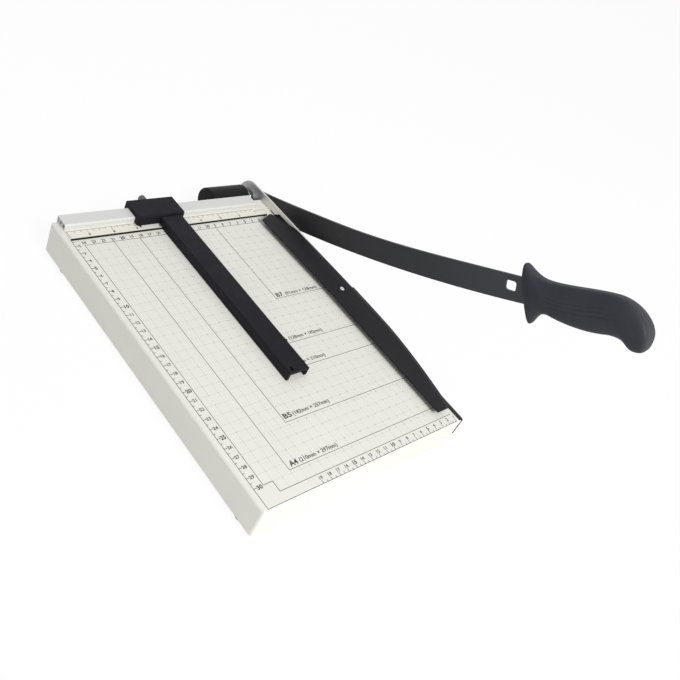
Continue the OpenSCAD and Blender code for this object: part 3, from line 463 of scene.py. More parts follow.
def eased(node, name, material, width, angle=40):
    """A copy of a node whose sharp edges are rounded by width, in place of the node."""
    mesh = merged(node)
    mesh.shade_smooth()
    obj = piece(name, mesh, material, node, node)
    bevel = obj.modifiers.new("eased edges", "BEVEL")
    bevel.width = width
    bevel.segments = 2
    bevel.limit_method = "ANGLE"
    bevel.angle_limit = math.radians(angle)
    bevel.use_clamp_overlap = False
    bevel.harden_normals = True
    return obj


def dress(material, *nodes):
    """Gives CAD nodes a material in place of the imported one."""
    for node in nodes:
        NODES[node].data.materials.clear()
        NODES[node].data.materials.append(material)


def settle(obj):
    """Applies an object's modifiers to its mesh."""
    graph = bpy.context.evaluated_depsgraph_get()
    mesh = bpy.data.meshes.new_from_object(obj.evaluated_get(graph))
    obj.modifiers.clear()
    old = obj.data
    obj.data = mesh
    bpy.data.meshes.remove(old)


def cut(obj, corners, faces):
    """Takes a closed shape out of an object's mesh."""
    tool = bpy.data.objects.new("tool", mesh_of("tool", corners, faces))
    bpy.context.scene.collection.objects.link(tool)
    boolean = obj.modifiers.new("cut", "BOOLEAN")
    boolean.operation = "DIFFERENCE"
    boolean.solver = "EXACT"
    boolean.object = tool
    settle(obj)
    mesh = tool.data
    bpy.data.objects.remove(tool)
    bpy.data.meshes.remove(mesh)


def prism(outline, start, end, axis):
    """A closed bar: an outline of (p, q) points carried from start to end along an axis.
    p and q run along the two directions square to the axis."""
    axis = Vector(axis).normalized()
    across = axis.orthogonal().normalized()
    up = axis.cross(across)
    flat = np.outer(outline[:, 0], across) + np.outer(outline[:, 1], up)
    corners = np.concatenate([flat + np.array(start), flat + np.array(end)])
    n = len(outline)
    ring = np.arange(n)
    sides = np.stack([ring, np.roll(ring, -1), np.roll(ring, -1) + n, ring + n], axis=-1)
    return corners, [*sides, ring[::-1], ring + n]


def upright(outline, low, high):
    """A closed plate across X: an outline of (y, z) points carried from low to high.
    All are in mm from the cutting line, the zero line and the board's top."""
    n = len(outline)
    corners = np.array([(x, y, z) for x in (low, high) for y, z in outline]) * MM + (CUT_X, ZERO_Y, BOARD_Z)
    sides = [(i, (i + 1) % n, (i + 1) % n + n, i + n) for i in range(n)]
    return corners, [*sides, tuple(range(n))[::-1], tuple(range(n, 2 * n))]


def disc(radius, count=40):
    """Outline of a circle."""
    angle = np.linspace(0, 2 * np.pi, count, endpoint=False)
    return radius * np.stack([np.cos(angle), np.sin(angle)], axis=-1)


def cross(arm, width):
    """Outline of a driver's cross with arms of that length and width."""
    a, w = arm, width / 2
    return np.array([
        (a, -w), (a, w), (w, w), (w, a), (-w, a), (-w, w),
        (-a, w), (-a, -w), (-w, -w), (-w, -a), (w, -a), (w, -w)
    ])


def islands(mesh):
    """Box of each separate part of a mesh: corners joined by edges take the least of their labels in turn."""
    points = np.empty(len(mesh.vertices) * 3)
    mesh.vertices.foreach_get("co", points)
    points = points.reshape(-1, 3)
    ends = np.empty(len(mesh.edges) * 2, int)
    mesh.edges.foreach_get("vertices", ends)
    ends = ends.reshape(-1, 2)
    label = np.arange(len(points))
    while True:
        least = label[ends].min(axis=1)
        new = label.copy()
        np.minimum.at(new, ends[:, 0], least)
        np.minimum.at(new, ends[:, 1], least)
        new = new[new]
        if (new == label).all():
            break
        label = new
    groups = [points[label == k] for k in np.unique(label)]
    return [(g.min(axis=0), g.max(axis=0)) for g in groups]


def driven(node, name, material, axis, arm, depth):
    """A copy of a node of screws with a driver's cross sunk into each head, on the axis's side."""
    mesh = merged(node)
    boxes = islands(mesh)
    mesh.shade_smooth()
    mesh.set_sharp_from_angle(angle=math.radians(30))
    obj = piece(name, mesh, material, node, node)
    axis = np.array(axis, float)
    for low, high in boxes:
        middle = (low + high) / 2
        top = np.where(np.abs(axis) > 0.5, np.where(axis > 0, high, low), middle)
        cut(obj, *prism(cross(arm, arm * 0.42), top - axis * depth, top + axis * depth, axis))
    return obj


def spots(u, v):
    """Row-frame X and Y of board places in mm: u left of the cutting line, v in front of the zero line."""
    return CUT_X - np.asarray(u) * MM, ZERO_Y - np.asarray(v) * MM


def bars(spans, z):
    """Closed flat bars of ink. Each row of spans is two opposite corners (x0, y0, x1, y1), and a bar's eight
    corners are every pick of one x, one y and one z."""
    spans = np.asarray(spans, float)
    x = np.sort(spans[:, [0, 2]], axis=1)
    y = np.sort(spans[:, [1, 3]], axis=1)
    z = np.broadcast_to([z, z + INK_T], x.shape)
    pick = np.arange(8)
    corners = np.stack([x[:, pick % 2], y[:, pick // 2 % 2], z[:, pick // 4]], axis=-1)
    sides = np.array([(0, 2, 3, 1), (4, 5, 7, 6), (0, 1, 5, 4), (1, 3, 7, 5), (3, 2, 6, 7), (2, 0, 4, 6)])
    faces = sides + 8 * np.arange(len(spans))[:, None, None]
    return corners.reshape(-1, 3), faces.reshape(-1, 4)


def rules(lines, width):
    """Spans of straight lines of that width; each row of lines is (u0, v0, u1, v1) in mm on the board."""
    lines = np.asarray(lines, float)
    x, y = spots(lines[:, [0, 2]], lines[:, [1, 3]])
    x, y = np.sort(x, axis=1), np.sort(y, axis=1)
    half = width / 2
    return np.stack([x[:, 0] - half, y[:, 0] - half, x[:, 1] + half, y[:, 1] + half], axis=-1)


def dots(lines, width, step):
    """Spans of the dots along straight lines, one every step."""
    rows = []
    for u0, v0, u1, v1 in lines:
        count = int(math.hypot(u1 - u0, v1 - v0) * MM / step) + 1
        share = np.linspace(0, 1, count)
        x, y = spots(u0 + (u1 - u0) * share, v0 + (v1 - v0) * share)
        rows.append(np.stack([x, y, x, y], axis=-1))
    spread = np.array([-1, -1, 1, 1]) * width / 2
    return np.concatenate(rows) + spread


def lettering(words, u, v, height, z, bold=0.0, align="CENTER", width=None):
    """Corner and face arrays of words in Blender's own font, lying on the board with their middle at (u, v).
    A width in mm stretches the words to it."""
    curve = bpy.data.curves.new("words", "FONT")
    curve.body = words
    curve.size = height / CAP_SHARE
    curve.align_x = align
    curve.offset = bold
    curve.extrude = INK_T / 2
    curve.resolution_u = 2
    curve.fill_mode = "BOTH"
    writer = bpy.data.objects.new("words", curve)
    bpy.context.scene.collection.objects.link(writer)
    graph = bpy.context.evaluated_depsgraph_get()
    mesh = bpy.data.meshes.new_from_object(writer.evaluated_get(graph))
    corners = np.empty(len(mesh.vertices) * 3)
    mesh.vertices.foreach_get("co", corners)
    faces = [tuple(p.vertices) for p in mesh.polygons]
    bpy.data.objects.remove(writer)
    bpy.data.curves.remove(curve)
    bpy.data.meshes.remove(mesh)
    corners = corners.reshape(-1, 3)
    if width:
        corners[:, 0] *= width * MM / np.ptp(corners[:, 0])
    x, y = spots(u, v)
    return corners + (x, y - height / 2, z + INK_T / 2), faces


def joined(parts):
    """One pair of corner and face arrays from several."""
    corners, faces, start = [], [], 0
    for points, sides in parts:
        corners.append(points)
        faces.extend([i + start for i in side] for side in sides)
        start += len(points)
    return np.concatenate(corners), faces


# Printed layout of the board in mm. Its zero is the rail's face, behind the black strip, and CM is the length
# of one printed centimetre along the board, where the fitted sizes are about 3 % over true
CM, FACE = 10.28, -6.6
LEFT_OUT, LEFT_IN = 249.4, 239.7
FRONT_OUT, FRONT_IN = 321.4, 312.0
TOP_IN = 14.2
RIGHT_END = 9.5
STEP_U, STEP_V = 230.2, 301.6
LEFT_COUNT, FRONT_COUNT, TOP_COUNT = 30, 19, 24
TICK, HALF_TICK = 3.4, 1.7
INCH = 25.4
# Name, measure and size of each paper, where its name and measure start from its corner, and how far they
# clear its line
PAPERS = (
    ("A4", "(210mm × 297mm)", 210, 297, 3.7, 14.0, 2.1),
    ("B5", "(182mm × 257mm)", 182, 257, 1.7, 12.4, 3.4),
    ("A5", "(148mm × 210mm)", 148, 210, 2.6, 14.0, 3.1),
    ("B6", "(128mm × 182mm)", 128, 182, 2.6, 14.0, 3.1),
    ("B7", "(91mm × 128mm)", 91, 128, 2.6, 14.6, 1.7),
)
LABEL_W, NOTE_W = 8.9, 43.8
# Every fifth number of a ruler is larger, and its strokes are bolder, by these shares
FIFTH, BOLDER = 1.18, 1.7
LABEL_BOLD = 1.8
NOTE_RISE = 0.5
# First number that the stop strip leaves clear, and where the left line of the ruler starts
LEFT_FIRST, LEFT_TOP = 2, 7
# Columns and rows of the dotted grid
COLUMNS, ROWS = range(1, 24), range(3, 31)
GRID_CLEAR = 2
# How far the numbers stand from their ticks
LEFT_SHIFT, FRONT_SHIFT, TOP_SHIFT = 0.2, 0.7, 0.9
TOP_RISE = 3.6


def down(centimetres):
    """Place in mm from the zero line of that many printed centimetres from the rail's face."""
    return FACE + CM * centimetres


def figure(n, u, v, sizes, z, align="CENTER"):
    """A number of a ruler, larger and bolder at every fifth mark."""
    large, bold = (FIFTH, BOLDER) if n % 5 == 0 else (1.0, 1.0)
    return lettering(str(n), u, v, large * sizes.digit, z, bold * sizes.bold, align)


def board_print(sizes):
    """Arrays of the board's print: ruler bands with ticks and digits, paper outlines and a dotted grid."""
    z = BOARD_Z + INK_LIFT
    lines = [
        (LEFT_OUT, LEFT_TOP, LEFT_OUT, FRONT_OUT),
        (LEFT_OUT, FRONT_OUT, RIGHT_END, FRONT_OUT),
        (LEFT_IN, TOP_IN, LEFT_IN, STEP_V),
        (LEFT_IN, STEP_V, STEP_U, STEP_V),
        (STEP_U, STEP_V, STEP_U, FRONT_IN),
        (STEP_U, FRONT_IN, RIGHT_END, FRONT_IN),
        (LEFT_IN, TOP_IN, RIGHT_END, TOP_IN),
    ]
    lefts = range(LEFT_FIRST, LEFT_COUNT + 1)
    lines += [(LEFT_OUT, down(n), LEFT_OUT - TICK, down(n)) for n in lefts]
    halves = [down(n - 0.5) for n in lefts]
    lines += [(LEFT_OUT, v, LEFT_OUT - HALF_TICK, v) for v in halves]
    lines += [(10 * n, FRONT_OUT, 10 * n, FRONT_OUT - TICK) for n in range(1, FRONT_COUNT + 1)]
    lines += [(10 * n - 5, FRONT_OUT, 10 * n - 5, FRONT_OUT - HALF_TICK) for n in range(2, FRONT_COUNT + 1)]
    lines += [(10 * n, TOP_IN, 10 * n, TOP_IN - HALF_TICK) for n in range(1, TOP_COUNT)]
    for name, measure, wide, long, *words in PAPERS:
        lines += [(wide, TOP_IN, wide, down(long / 10)), (wide, down(long / 10), RIGHT_END, down(long / 10))]
    fine = [(10 * n, TOP_IN + GRID_CLEAR, 10 * n, FRONT_IN - GRID_CLEAR) for n in COLUMNS]
    fine += [(LEFT_IN - GRID_CLEAR, down(n), RIGHT_END + 1, down(n)) for n in ROWS]
    crossings = [(10 * i, down(j), 10 * i, down(j)) for i in COLUMNS for j in ROWS]
    parts = [
        bars(rules(lines, sizes.line), z),
        bars(dots(fine, sizes.dot, sizes.dot_step), z),
        bars(rules(crossings, sizes.crossing), z),
    ]
    parts += [figure(n, LEFT_OUT - TICK + LEFT_SHIFT, down(n), sizes, z, "LEFT") for n in lefts]
    front_v = (FRONT_OUT + FRONT_IN) / 2 - 1
    marks = [(n, 10 * n - FRONT_SHIFT, front_v) for n in range(1, FRONT_COUNT + 1)]
    marks += [(n, 10 * n - TOP_SHIFT, TOP_IN - TOP_RISE) for n in range(1, TOP_COUNT + 1)]
    parts += [figure(n, u, v, sizes, z) for n, u, v in marks]
    for name, measure, wide, long, label_u, note_u, lift in PAPERS:
        base = down(long / 10) - lift
        label_v = base - sizes.label / MM / 2
        note_v = base - sizes.note / MM / 2 - NOTE_RISE
        label_bold = LABEL_BOLD * sizes.bold
        parts += [
            lettering(name, wide - label_u, label_v, sizes.label, z, label_bold, "LEFT", LABEL_W),
            lettering(measure, wide - note_u, note_v, sizes.note, z, sizes.bold, "LEFT", NOTE_W),
        ]
    return joined(parts)


def fence_print(sizes):
    """Arrays of the inch scale on the fence's lip: a back line, quarters, inches and digits."""
    z = RAIL[0].z + LIP_HEIGHT + INK_LIFT
    back, left, right = -5.2, 248.6, 27.0
    lines = [(left, back, right, back), (left, back, left, 3.5)]
    lines += [(27, -2.6, 13, -2.6), (27, -2.6, 27, 0.5)]
    quarters = np.arange(5, 39)
    tall = np.where(quarters % 4 == 0, 4.6, 2.4)
    lines += [(INCH * n / 4, back, INCH * n / 4, back + h) for n, h in zip(quarters, tall)]
    parts = [bars(rules(lines, sizes.line * 0.85), z)]
    parts += [lettering(str(n), INCH * n, 1.7, sizes.digit * 0.9, z, 2 * sizes.bold) for n in range(2, 10)]
    return joined(parts)


def helix_tube(low, high, wire, turns):
    """Spring wire: a circle carried along a helix about X inside a box.
    At share q the middle is (x0 + q (x1 - x0), R cos 2 pi n q, R sin 2 pi n q). Short tails end it."""
    middle = (low + high) / 2
    radius = (high.y - low.y) / 2 - wire / 2
    q = np.linspace(0, 1, int(turns * 48) + 1)
    x = low.x + wire + q * (high.x - low.x - 2 * wire)
    turn = 2 * np.pi * turns * q
    path = np.stack([x, PIVOT.y + radius * np.cos(turn), PIVOT.z + radius * np.sin(turn)], axis=-1)
    tail = np.array([wire, 0, 0])
    bend = np.linspace(0, 1, 5)[:-1, None]
    path = np.concatenate([path[0] - tail * (1 - bend), path, (path[-1] + tail * (1 - bend))[::-1]])
    along = np.gradient(path, axis=0)
    along /= np.linalg.norm(along, axis=1, keepdims=True)
    out = path - np.stack([path[:, 0], *np.broadcast_arrays(path[:, 0] * 0 + PIVOT.y, PIVOT.z)], axis=-1)
    out -= along * np.sum(out * along, axis=1, keepdims=True)
    out /= np.linalg.norm(out, axis=1, keepdims=True)
    side = np.cross(along, out)
    angle = np.linspace(0, 2 * np.pi, 20, endpoint=False)[None, :, None]
    rings = path[:, None] + wire / 2 * (out[:, None] * np.cos(angle) + side[:, None] * np.sin(angle))
    rows, columns = rings.shape[:2]
    ends = [np.arange(columns)[::-1], np.arange(columns) + (rows - 1) * columns]
    return rings.reshape(-1, 3), [*grid_faces(rows, columns, wrap=True), *ends]


def chain(curves, u):
    """Points at shares u of a chain of curves of four control points, by Bernstein's polynomial on each."""
    curves = np.array(curves, float)
    k = np.minimum((u * len(curves)).astype(int), len(curves) - 1)
    w = (u * len(curves) - k)[:, None]
    a, b, c, d = curves[k].transpose(1, 0, 2)
    return (1 - w) ** 3 * a + 3 * w * (1 - w) ** 2 * b + 3 * w * w * (1 - w) * c + w ** 3 * d


GROOVE_TURNS = {-1: np.radians([68, 80, 92]), 1: np.radians([52, 62, 72])}
GROOVE_LEAN = np.radians(16)
GROOVE_SPAN = (0.27, 0.6)
GROOVE_DEPTH = 0.62
# Web under the root of the plate's strip: its outline and its sides, just inside the plate's
WEB = (1.25, 0.3), (1.25, 5.4), (-13, 5.4), (-6.2, 0.3)
WEB_X = -2.48, -0.32
FLANK_POWER = 0.55
POMMEL, POMMEL_L, POMMEL_POWER = 0.78, 0.23, 2.4


def grip_half(side):
    """One half of the handle: between the upper and the lower outline at share u, the point at angle f is
    a + (b - a)(1 - cos f)/2 across and h(u) sin(f)^0.55 out, less three shallow grooves along the flank."""
    u = 0.99 * np.sin(np.linspace(0, np.pi / 2, 150)) ** 0.8
    f = np.linspace(0, np.pi, 131)
    upper, lower = chain(GRIP_UPPER, u), chain(GRIP_LOWER, u)
    waist = 0.94 + 0.06 * np.cos(2 * np.pi * np.minimum(u / POMMEL, 1))
    past = np.maximum(u - POMMEL, 0) / POMMEL_L
    pommel = (1 - past ** POMMEL_POWER) ** (1 / POMMEL_POWER)
    thin = 1 - 0.5 * np.clip(1 - u / 0.3, 0, 1) ** 2
    half = GRIP_HALF * thin * waist * pommel
    flat = upper[:, None] + (lower - upper)[:, None] * ((1 - np.cos(f)) / 2)[None, :, None]
    out = half[:, None] * np.abs(np.sin(f))[None] ** FLANK_POWER
    start, end = GROOVE_SPAN
    run = np.clip((u - start) / 0.03, 0, 1) * np.clip((end - u) / 0.03, 0, 1)
    run = run * run * (3 - 2 * run)
    tall = np.linalg.norm(lower - upper, axis=1) / 2
    lean = GROOVE_LEAN * (end - u) / (end - start)
    for turn in GROOVE_TURNS[side]:
        away = (f[None] - turn - lean[:, None]) * tall[:, None] * math.sin(turn)
        out = out - GROOVE_DEPTH * run[:, None] * np.exp(-(away / 0.85) ** 2)
    points = blade_point(BLADE_L + flat[..., 0], flat[..., 1], GRIP_MID + side * out)
    rows, columns = points.shape[:2]
    index = np.arange(rows * columns).reshape(rows, columns)
    seam = np.stack([index[:-1, 0], index[1:, 0], index[1:, -1], index[:-1, -1]], axis=-1)
    faces = [*grid_faces(rows, columns), *seam[:, ::-1], index[0], index[-1][::-1]]
    if side < 0:
        faces = [face[::-1] for face in faces]
    return points.reshape(-1, 3), faces, index


def weigh(mesh, index, rim, seam):
    """Gives the bevel weight rim to the edges of the front rim and seam to those along the parting line.
    An edge is on the rim if both ends are in the first ring, and on the seam if both are in an end column."""
    ends = np.empty(len(mesh.edges) * 2, int)
    mesh.edges.foreach_get("vertices", ends)
    ends = ends.reshape(-1, 2)
    column = ends % index.shape[1]
    front = (ends < index.shape[1]).all(axis=1)
    ring = front & (np.abs(column[:, 0] - column[:, 1]) == 1)
    last = index.shape[1] - 1
    split = (column[:, 0] == column[:, 1]) & ((column[:, 0] == 0) | (column[:, 0] == last))
    weight = np.where(ring, rim, np.where(split, seam, 0.0))
    layer = mesh.attributes.new("bevel_weight_edge", "FLOAT", "EDGE")
    layer.data.foreach_set("value", weight.astype(np.float32))


class CUTTER_OT_base(bpy.types.Operator):
    """Coats the folded base and the fence, with the black edge beside the knife"""

    bl_idname = "cutter.base"
    bl_label = "Coated base and fence"

    def execute(self, context):
        colours, sizes = context.scene.cutter_colours, context.scene.cutter_sizes
        deck = powder_coat(
            "printed ivory powder coat on steel", colours.coat, linear("19191A"),
            CUT_X - 6.2 * MM, ZERO_Y - 20 * MM
        )
        dress(deck, "base_tray")
        dress(powder_coat("ivory powder coat on steel", colours.coat), "base_walls", "base_returns")
        rail = powder_coat(
            "ivory coat on extruded aluminium", colours.rail, colours.lip, most_y=ZERO_Y + 7.4 * MM
        )
        eased("fence_rail", "fence_extrusion", rail, sizes.ease * 0.6)
        strip = moulded("black vinyl strip", linear("121213"), 0.5)
        eased("fence_strip", "fence_edge_strip", strip, sizes.steel_ease)
        return {"FINISHED"}


class CUTTER_OT_board_print(bpy.types.Operator):
    """Prints the rulers, paper sizes and grid on the board"""

    bl_idname = "cutter.board_print"
    bl_label = "Board print"

    def execute(self, context):
        ink = printing_ink("screen-printed ink", context.scene.cutter_colours.ink)
        mesh = mesh_of("board_print", *board_print(context.scene.cutter_sizes))
        piece("board_print", mesh, ink, "base_tray")
        return {"FINISHED"}


class CUTTER_OT_fence_print(bpy.types.Operator):
    """Prints the inch scale on the fence's lip"""

    bl_idname = "cutter.fence_print"
    bl_label = "Fence scale"

    def execute(self, context):
        ink = printing_ink("pale screen-printed ink", context.scene.cutter_colours.scale)
        mesh = mesh_of("fence_scale", *fence_print(context.scene.cutter_sizes))
        piece("fence_scale", mesh, ink, "fence_rail")
        return {"FINISHED"}


class CUTTER_OT_feet(bpy.types.Operator):
    """Moulds the rubber feet"""

    bl_idname = "cutter.feet"
    bl_label = "Rubber feet"

    def execute(self, context):
        black = rubber("moulded black rubber", context.scene.cutter_colours.rubber)
        eased("rubber_feet", "feet_mouldings", black, context.scene.cutter_sizes.ease, 30)
        return {"FINISHED"}


class CUTTER_OT_knife(bpy.types.Operator):
    """Blackens the bed knife and leaves its cutting corner bare"""

    bl_idname = "cutter.knife"
    bl_label = "Bed knife"

    def execute(self, context):
        black = black_knife("blackened tool steel", context.scene.cutter_colours.knife)
        dress(black, "bed_knife")
        return {"FINISHED"}


class CUTTER_OT_pivot(bpy.types.Operator):
    """Plates the pivot plate and moulds the pivot housing and its cap"""

    bl_idname = "cutter.pivot"
    bl_label = "Pivot plate and housing"

    def execute(self, context):
        colours, sizes = context.scene.cutter_colours, context.scene.cutter_sizes
        # The plate's coat fades to steel along Y: partly a real coat, partly a painted reflection
        bright = worn_coat(
            "cream coat and painted reflection on plated sheet steel", colours.steel, colours.coat, ZERO_Y + 30 * MM, ZERO_Y + 4 * MM
        )
        eased("pivot_plate", "pivot_plate_sheet", bright, sizes.steel_ease)
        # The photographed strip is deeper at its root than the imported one
        piece("plate_web", mesh_of("plate_web", *upright(WEB, *WEB_X)), bright, "pivot_plate")
        black = moulded("black moulded nylon", colours.housing, 0.42)
        eased("pivot_housing", "pivot_housing_moulding", black, sizes.ease * 2)
        eased("housing_cap", "housing_cap_moulding", black, sizes.ease * 2, 30)
        return {"FINISHED"}


class CUTTER_OT_spring(bpy.types.Operator):
    """Winds the pressure spring"""

    bl_idname = "cutter.spring"
    bl_label = "Pressure spring"

    def execute(self, context):
        wire = plated("drawn spring wire", linear("C9CBCD"), 0.24, 0.6 * MM)
        mesh = mesh_of("spring_wire", *helix_tube(*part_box("pressure_spring"), 1.4 * MM, 2))
        mesh.shade_smooth()
        piece("spring_wire", mesh, wire, "pressure_spring", "pressure_spring")
        return {"FINISHED"}


class CUTTER_OT_fasteners(bpy.types.Operator):
    """Plates the shaft, washers, nuts and screws, and sinks a driver's cross into the screws"""

    bl_idname = "cutter.fasteners"
    bl_label = "Shaft and fasteners"

    def execute(self, context):
        colours, sizes = context.scene.cutter_colours, context.scene.cutter_sizes
        zinc = plated("zinc-plated steel", colours.zinc, 0.34, 0.7 * MM)
        bright = plated("polished nickel plate", linear("DCDDDE"), 0.2, 0.7 * MM)
        black = plated("black-oxide steel", linear("3C3C3F"), 0.4, 0.7 * MM)
        dress(zinc, "foot_nuts", "knife_nuts", "plate_nuts", "housing_nuts", "shaft_nut", "shaft_washers")
        dress(zinc, "fence_screws", "gauge_screws")
        eased("pivot_shaft", "pivot_bolt", bright, sizes.ease, 30)
        driven("foot_screws", "foot_screws_driven", zinc, (0, 0, -1), 2.2 * MM, 0.9 * MM)
        driven("knife_screws", "knife_screws_driven", black, (1, 0, 0), 2.2 * MM, 1.0 * MM)
        driven("plate_screws", "plate_screws_driven", zinc, (1, 0, 0), 2.7 * MM, 1.1 * MM)
        driven("housing_screws", "housing_screws_driven", black, (0, 1, 0), 2.3 * MM, 1.2 * MM)
        driven("guard_screw", "guard_screw_driven", bright, (0, 0, 1), 1.5 * MM, 0.7 * MM)
        dress(zinc, "grip_screws")
        return {"FINISHED"}


class CUTTER_OT_guard(bpy.types.Operator):
    """Moulds the finger guard"""

    bl_idname = "cutter.guard"
    bl_label = "Finger guard"

    def execute(self, context):
        black = moulded("black moulded ABS", context.scene.cutter_colours.guard, 0.4)
        eased("finger_guard", "finger_guard_moulding", black, context.scene.cutter_sizes.ease, 12)
        return {"FINISHED"}


class CUTTER_OT_gauge(bpy.types.Operator):
    """Moulds the gauge's saddle and arm"""

    bl_idname = "cutter.gauge"
    bl_label = "Gauge"

    def execute(self, context):
        black = moulded("black moulded polystyrene", context.scene.cutter_colours.gauge, 0.55)
        ease = context.scene.cutter_sizes.ease
        eased("gauge_saddle", "gauge_saddle_moulding", black, ease)
        eased("gauge_arm", "gauge_arm_moulding", black, ease)
        return {"FINISHED"}


class CUTTER_OT_thumb(bpy.types.Operator):
    """Plates the thumb screw"""

    bl_idname = "cutter.thumb"
    bl_label = "Thumb screw"

    def execute(self, context):
        dress(plated("dark nickel plate", linear("77787A"), 0.26, 0.6 * MM), "thumb_screw")
        return {"FINISHED"}


class CUTTER_OT_blade(bpy.types.Operator):
    """Coats the blade and leaves its bevel bare"""

    bl_idname = "cutter.blade"
    bl_label = "Blade"

    def execute(self, context):
        black = black_blade("black-coated blade steel", context.scene.cutter_colours.blade)
        eased("blade_arm", "blade_plate", black, context.scene.cutter_sizes.steel_ease, 50)
        return {"FINISHED"}


class CUTTER_OT_grip(bpy.types.Operator):
    """Moulds the two halves of the handle round the blade's tang"""

    bl_idname = "cutter.grip"
    bl_label = "Handle"

    def execute(self, context):
        sizes = context.scene.cutter_sizes
        black = moulded("charcoal moulded polypropylene", context.scene.cutter_colours.grip, 0.48)
        screws = islands(merged("grip_screws"))
        for node, name, side in (("grip_inner", "handle_inner", -1), ("grip_outer", "handle_outer", 1)):
            corners, faces, index = grip_half(side)
            corners = np.clip(corners, *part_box(node))
            mesh = bpy.data.meshes.new(name)
            mesh.from_pydata(corners.tolist(), [], [list(f) for f in faces])
            weigh(mesh, index, 1.0, 0.2)
            obj = piece(name, mesh, black, node, node)
            bevel = obj.modifiers.new("rounded rim", "BEVEL")
            bevel.width = sizes.rim
            bevel.segments = 3
            bevel.limit_method = "WEIGHT"
            settle(obj)
            for low, high in screws if side > 0 else ():
                middle = Vector((low + high) / 2)
                seat = Vector((CUT_X + (GRIP_MID + 6) * MM, middle.y, middle.z))
                far = Vector((CUT_X + (GRIP_MID + 20) * MM, middle.y, middle.z))
                cut(obj, *prism(disc(3.9 * MM), seat, far, (1, 0, 0)))
            obj.data.shade_smooth()
            obj.data.set_sharp_from_angle(angle=math.radians(38))
        return {"FINISHED"}


class CUTTER_OT_studio(bpy.types.Operator):
    """Sets the pale floor, the soft light and the camera"""

    bl_idname = "cutter.studio"
    bl_label = "Studio"

    def execute(self, context):
        scene, studio = context.scene, context.scene.cutter_studio
        scene.view_settings.view_transform = "Standard"
        floor = bpy.data.objects.new("floor", mesh_of(
            "floor", [(-6, -6, 0), (6, -6, 0), (6, 6, 0), (-6, 6, 0)], [(0, 1, 2, 3)]
        ))
        floor.data.transform(Matrix.Translation((0, 0, -0.0002)))
        scene.collection.objects.link(floor)
        floor.data.materials.append(self.floor_paint())
        self.sky(scene, studio)
        lamp = bpy.data.lights.new("key", "AREA")
        lamp.shape = "DISK"
        lamp.size = 1.1
        lamp.energy = studio.key
        key = bpy.data.objects.new("key", lamp)
        key.location = (-0.22, -1.8, 1.9)
        key.rotation_euler = (-key.location).to_track_quat("-Z", "Y").to_euler()
        scene.collection.objects.link(key)
        self.camera(scene, studio)
        return {"FINISHED"}

    def floor_paint(self):
        """Pale matt floor: seen directly it is mostly plain white, and a share of it keeps the shadow."""
        material = bpy.data.materials.new("pale matt floor")
        material.use_nodes = True
        tree = material.node_tree
        tree.nodes.clear()
        matt = add(tree, "ShaderNodeBsdfDiffuse", {"Color": (0.9, 0.9, 0.9, 1)})
        white = add(tree, "ShaderNodeEmission", {"Color": (1, 1, 1, 1), "Strength": 1.0})
        seen = add(tree, "ShaderNodeLightPath").outputs["Is Camera Ray"]
        share = add(tree, "ShaderNodeMath", {0: seen, 1: 0.93}, operation="MULTIPLY")
        mix = add(tree, "ShaderNodeMixShader", {0: share.outputs[0], 1: matt.outputs[0], 2: white.outputs[0]})
        add(tree, "ShaderNodeOutputMaterial", {"Surface": mix.outputs[0]})
        return material

    def sky(self, scene, studio):
        """Even white surroundings: plain white to the eye and in reflections, dimmer as light."""
        scene.world = bpy.data.worlds.new("studio")
        scene.world.use_nodes = True
        tree = scene.world.node_tree
        tree.nodes.clear()
        path = add(tree, "ShaderNodeLightPath")
        seen = add(tree, "ShaderNodeMath", {
            0: path.outputs["Is Camera Ray"], 1: path.outputs["Is Glossy Ray"]
        }, operation="MAXIMUM")
        seen = add(tree, "ShaderNodeMath", {
            0: seen.outputs[0], 1: path.outputs["Is Transmission Ray"]
        }, operation="MAXIMUM")
        level = add(
            tree, "ShaderNodeMapRange", {"Value": seen.outputs[0], "To Min": studio.sky, "To Max": 1.0}
        )
        light = add(tree, "ShaderNodeBackground", {"Color": (1, 1, 1, 1), "Strength": level.outputs[0]})
        add(tree, "ShaderNodeOutputWorld", {"Surface": light.outputs[0]})

    def camera(self, scene, studio):
        """The photograph's view, from the print's zero point: place in metres, direction and roll."""
        place = Vector((-0.59984, -0.50524, 0.47016))
        look = Vector((0.69149, 0.39919, -0.60207))
        roll = math.radians(29.591)
        eye = bpy.data.objects.new("camera", bpy.data.cameras.new("camera"))
        eye.data.sensor_width = 36
        eye.data.lens = studio.lens
        eye.data.clip_start = 0.01
        turn = look.to_track_quat("-Z", "Y").to_matrix() @ Matrix.Rotation(roll, 3, "Z")
        eye.matrix_world = Matrix.Translation(Vector((CUT_X, ZERO_Y, BOARD_Z)) + place) @ turn.to_4x4()
        scene.collection.objects.link(eye)
        scene.camera = eye


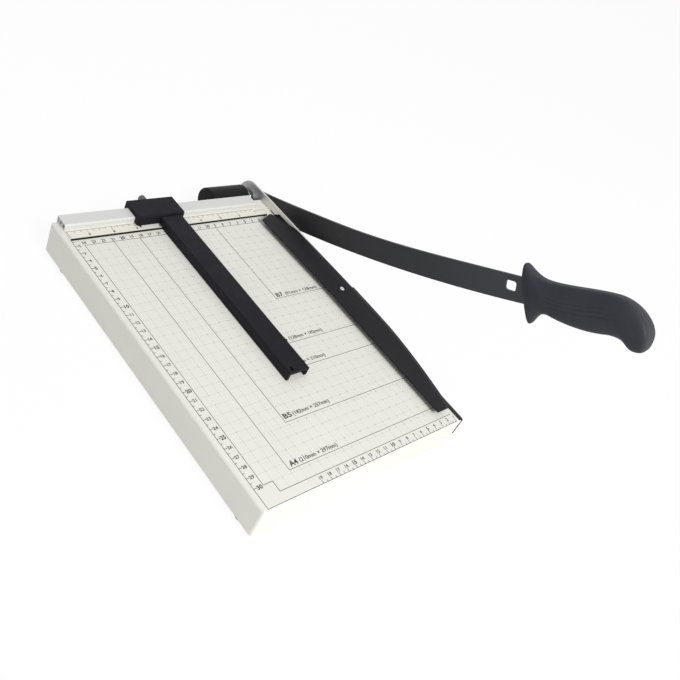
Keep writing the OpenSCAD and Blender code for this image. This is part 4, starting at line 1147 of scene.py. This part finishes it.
OPERATORS = (
    CUTTER_OT_base, CUTTER_OT_board_print, CUTTER_OT_fence_print, CUTTER_OT_feet, CUTTER_OT_knife,
    CUTTER_OT_pivot, CUTTER_OT_spring, CUTTER_OT_fasteners, CUTTER_OT_guard, CUTTER_OT_gauge,
    CUTTER_OT_thumb, CUTTER_OT_blade, CUTTER_OT_grip, CUTTER_OT_studio,
)


class CUTTER_PT_panel(bpy.types.Panel):
    """Lists the pieces of the cutter with their sizes and colours"""

    bl_idname = "CUTTER_PT_panel"
    bl_label = "Lever paper cutter"
    bl_space_type = "VIEW_3D"
    bl_region_type = "UI"
    bl_category = "Cutter"

    def draw(self, context):
        for operator in OPERATORS:
            self.layout.operator(operator.bl_idname)
        for group in (context.scene.cutter_sizes, context.scene.cutter_colours, context.scene.cutter_studio):
            box = self.layout.box()
            for name in group.__annotations__:
                box.prop(group, name)


GROUPS = (CutterSizes, CutterColours, CutterStudio)
CLASSES = (*GROUPS, *OPERATORS, CUTTER_PT_panel)


def register():
    """Registers the classes and hangs the property groups on the scene."""
    for group in CLASSES:
        bpy.utils.register_class(group)
    bpy.types.Scene.cutter_sizes = PointerProperty(type=CutterSizes)
    bpy.types.Scene.cutter_colours = PointerProperty(type=CutterColours)
    bpy.types.Scene.cutter_studio = PointerProperty(type=CutterStudio)


def unregister():
    """Takes the property groups and the classes away again."""
    del bpy.types.Scene.cutter_sizes, bpy.types.Scene.cutter_colours, bpy.types.Scene.cutter_studio
    for group in reversed(CLASSES):
        bpy.utils.unregister_class(group)


def main():
    """Registers the add-on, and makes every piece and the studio."""
    register()
    bpy.ops.cutter.base()
    bpy.ops.cutter.board_print()
    bpy.ops.cutter.fence_print()
    bpy.ops.cutter.feet()
    bpy.ops.cutter.knife()
    bpy.ops.cutter.pivot()
    bpy.ops.cutter.spring()
    bpy.ops.cutter.fasteners()
    bpy.ops.cutter.guard()
    bpy.ops.cutter.gauge()
    bpy.ops.cutter.thumb()
    bpy.ops.cutter.blade()
    bpy.ops.cutter.grip()
    bpy.ops.cutter.studio()


if __name__ == "__main__":
    main()
